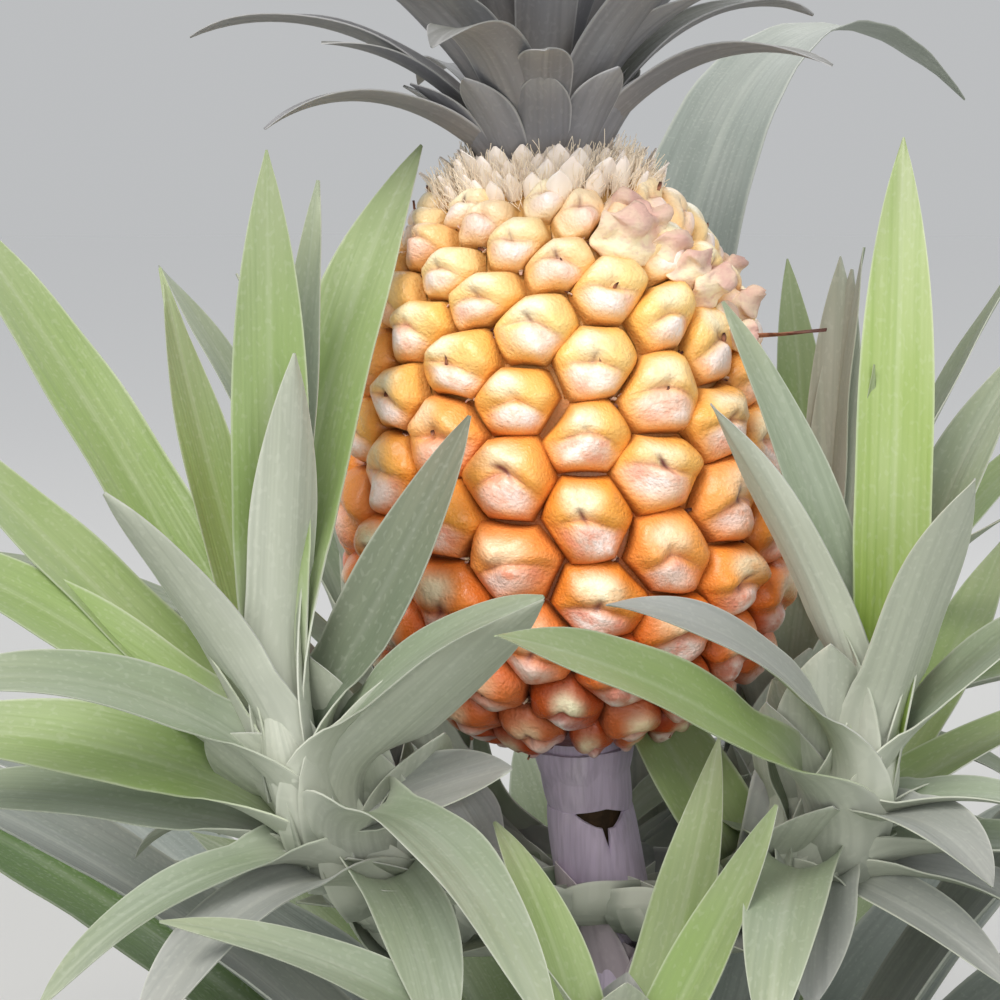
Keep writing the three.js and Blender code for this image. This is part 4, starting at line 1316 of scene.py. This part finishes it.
def makeBractTips():
    chance = random.Random(17)
    rows = fruitRows()
    look = {"thickness": 0.5, "paint": (0, 0)}
    brown, beige = [], []
    for n, height in enumerate(rows):
        turn = eyeTurn(n) % 360
        share = height / fruit["height"]
        around = perDegree(height)
        base = skinPoint(turn, height - bractTips["tipDrop"], 2.0)
        length = bractTips["length"] * chance.uniform(0.5, 1.2)
        tipTurn = turn + chance.uniform(-70, 70)
        leaf = [tipTurn, chance.uniform(60, 100), chance.uniform(-50, 40), length, 0.5 * length]
        if chance.random() < bractTips["tipShare"]:
            brown.append(growLeaf(leaf, base, 6, look, chance))
        if chance.random() < bractTips["scrapShare"] and 0.06 < share < 0.92:
            rim = eyeRim(rows, n)
            for _ in range(bractTips["scraps"]):
                scrapTurn = turn + rim[5][0] + chance.uniform(-0.8, 0.8) / around
                spot = skinPoint(scrapTurn, rim[5][1] + chance.uniform(-0.8, 0.8), -3.6)
                length = bractTips["scrapLength"] * chance.uniform(0.7, 1.4)
                tipTurn = turn + chance.uniform(-60, 60)
                leaf = [tipTurn, chance.uniform(-20, 50), chance.uniform(-50, 50), length, 1.0]
                (beige if chance.random() < 0.5 else brown).append(growLeaf(leaf, spot, 5, look, chance))
    beige += [growPetal(*petal, chance) for petal in bractTips["petals"]]
    turn, level, length, width, rise, bend = bractTips["spike"]
    base = skinPoint(turn, level, 1.0)
    brown.append(growLeaf([turn - 8, rise, bend, length, width], base, 12, look, chance))
    makePiece("witheredTips", brown, [witheredBrown], ["fruit"])
    makePiece("shoulderBracts", beige, [witheredBeige], ["fruit"], 180)


makeBractTips()


# Crown: small scales at its foot, then leaves from arching to upright round a short core
crown = {
    "leaves": 42, "coreRadius": 17, "coreHeight": 50, "firstTurn": 200, "scales": 11, "scaleLength": 30,
    "thickness": 1.3, "steps": 24, "olive": 1, "under": 2, "oliveShare": [0.3, 0.7],
    # the leaves from the lowest to the highest, then the young ones inside them
    "bend": [76, 20], "width": [17, 12], "inner": 26, "innerTurn": 70,
    "innerRise": [50, 86], "innerBend": [50, 10], "innerLength": [46, 72], "innerWidth": [13, 9],
    "footScales": 110, "footRadius": 28, "footDrop": 8, "footLength": 8.5,
    "hairs": 2600, "hairRadius": 0.09, "hairPoints": 4, "hairLength": [2.0, 5.0],
}


def crownPoint(turn, radius, height):
    return leaned(direction(turn) * radius + up * (fruit["height"] + clearance + height))


def leanedLeaf(leaf):
    return [leaf[0], leaf[1] + fruitLean * -math.cos(rad(leaf[0]))] + leaf[2:]


def makeCrown():
    chance = random.Random(31)
    core = crown["coreRadius"]
    batches = []

    def addLeaf(leaf, radius, height, paint):
        look = {"thickness": crown["thickness"], "paint": (paint, crown["under"])}
        base = crownPoint(leaf[0], radius, height)
        batches.append(growLeaf(leanedLeaf(leaf), base, crown["steps"], look, chance))

    for k in range(crown["scales"]):
        turn = 7 + 360 * k / crown["scales"]
        addLeaf([turn, 62, 30, crown["scaleLength"], 13], core - 2, 2, crown["olive"])
    for k, share in numbered(crown["leaves"]):
        turn = crown["firstTurn"] + k * goldenAngle
        height = 5 + crown["coreHeight"] * 0.8 * share
        length = 62 + 62 * min(1, share * 4) - 22 * share
        bend, width = between(crown["bend"], share), between(crown["width"], share)
        leaf = [turn, 44 + 42 * share ** 0.8, bend, length, width]
        paint = int(chance.random() < between(crown["oliveShare"], share))
        addLeaf(leaf, core * (1 - 0.88 * share) - 2, height, paint)
    for k, share in numbered(crown["inner"]):
        turn = crown["firstTurn"] + crown["innerTurn"] + k * goldenAngle
        parts = ("innerRise", "innerBend", "innerLength", "innerWidth")
        leaf = [turn] + [between(crown[part], share) for part in parts]
        height = 8 + crown["coreHeight"] * 0.75 * share
        addLeaf(leaf, core * (1 - 0.85 * share) - 2, height, crown["olive"])
    makePiece("crownLeaves", batches, leafMaterials["crown"], ["crown"])


makeCrown()


# Pale woolly scales between the topmost eyes and the crown, with short fine hairs among them
def makeCrownFoot():
    chance = random.Random(41)
    scales, hairs = [], []
    look = {"thickness": 1.2, "paint": (0, 0)}
    for k, share in numbered(crown["footScales"]):
        turn = k * goldenAngle
        radius = crown["footRadius"] + (crown["coreRadius"] - 3 - crown["footRadius"]) * share
        height = -crown["footDrop"] * (1 - share) ** 1.3
        length = crown["footLength"] * chance.uniform(0.7, 1.3)
        rise = 64 + 14 * share + chance.uniform(-12, 12)
        leaf = [turn, rise, chance.uniform(-30, 15), length, 0.6 * length]
        scales.append(growLeaf(leanedLeaf(leaf), crownPoint(turn, radius, height), 10, look, chance))
    count = crown["hairPoints"]  # along a hair and round it
    radii = crown["hairRadius"] * np.ones((count, count))
    for k in range(crown["hairs"]):
        share = chance.random()
        turn = chance.uniform(0, 360)
        radius = crown["footRadius"] + 3 + (crown["coreRadius"] - crown["footRadius"]) * share
        height = -crown["footDrop"] * (1 - share) ** 1.3 + chance.uniform(-2, 5)
        base = crownPoint(turn, radius - 2, height)
        outward = direction(turn + chance.uniform(-60, 60)) * chance.uniform(0.2, 0.9)
        heading = outward + up * chance.uniform(0.4, 1.4)
        tip = base + heading * chance.uniform(*crown["hairLength"])
        middle = (base + tip) / 2 + np.array([chance.uniform(-0.8, 0.8) for _ in range(3)])
        hairs.append(growLimb(bezier([base, middle, tip], shares(count)), radii, count))
    makePiece("crownFoot", scales, leafMaterials["foot"], ["crown"])
    makePiece("crownWool", hairs, leafMaterials["foot"], ["crown"])


makeCrownFoot()


# Camera at the photograph's place, soft studio light and a pale floor
view = {"place": (-0.040, -0.5515, 0.4922), "pitch": 10, "lens": 77.54, "sensor": 36}
cameraData = bpy.data.cameras.new("photoCamera")
cameraData.lens = view["lens"]
cameraData.sensor_width = view["sensor"]
cameraData.clip_start = 0.01
camera = newObject("photoCamera", cameraData)
camera.location = view["place"]
camera.rotation_euler = (rad(90 - view["pitch"]), 0, 0)
bpy.context.scene.camera = camera


# In metres; the floor lies just under the plant's flat cut
floorPlan = {"radius": 9, "sides": 64, "height": -0.0005}


def makeFloor():
    material, tree = newMaterial("studioFloor")
    place = addNode(tree, "TexCoord", out="Object")
    distance = addNode(tree, "VectorMath", {0: place}, out="Value", operation="LENGTH")
    # paler further out, in metres, where only the room lights it
    colour = addLayers(tree, "#d9d9d7", ((distance, 0.6, 3.0, 1.0, "#fefefe"),))
    shader = addNode(tree, "BsdfPrincipled", {"Base Color": colour, "Roughness": 0.9})
    addNode(tree, "OutputMaterial", {"Surface": shader})
    mesh = bpy.data.meshes.new("studioFloor")
    turns = ringShares(floorPlan["sides"]) * 2 * math.pi
    radius = floorPlan["radius"]
    rim = [(radius * math.cos(t), radius * math.sin(t), floorPlan["height"]) for t in turns]
    mesh.from_pydata(rim, [], [list(range(floorPlan["sides"]))])
    mesh.materials.append(material)
    newObject("studioFloor", mesh)


def addLight(name, place, target, size, power, colour):
    data = bpy.data.lights.new(name, "AREA")
    data.shape = "DISK"
    data.size = size
    data.energy = power
    data.color = linearColour(colour)[:3]
    light = newObject(name, data)
    light.location = place
    light.rotation_euler = (Vector(target) - Vector(place)).to_track_quat("-Z", "Y").to_euler()


makeFloor()
addLight("skyPanel", (-0.6, -1.0, 1.7), (0, 0, 0.35), 1.0, 25, "#fffaf4")
addLight("frontPanel", (0.5, -1.7, 0.9), (0, 0, 0.35), 1.2, 9.5, "#fffdf8")
addLight("backPanel", (0.3, 1.6, 1.5), (0, 0, 0.35), 1.4, 7, "#ffffff")
world = bpy.data.worlds.new("studio")
world.use_nodes = True
world.node_tree.nodes["Background"].inputs[0].default_value = linearColour("#f4f6f8")
world.node_tree.nodes["Background"].inputs[1].default_value = 0.56
bpy.context.scene.world = world
bpy.context.scene.view_settings.view_transform = "Standard"
print("camera, light and floor made")
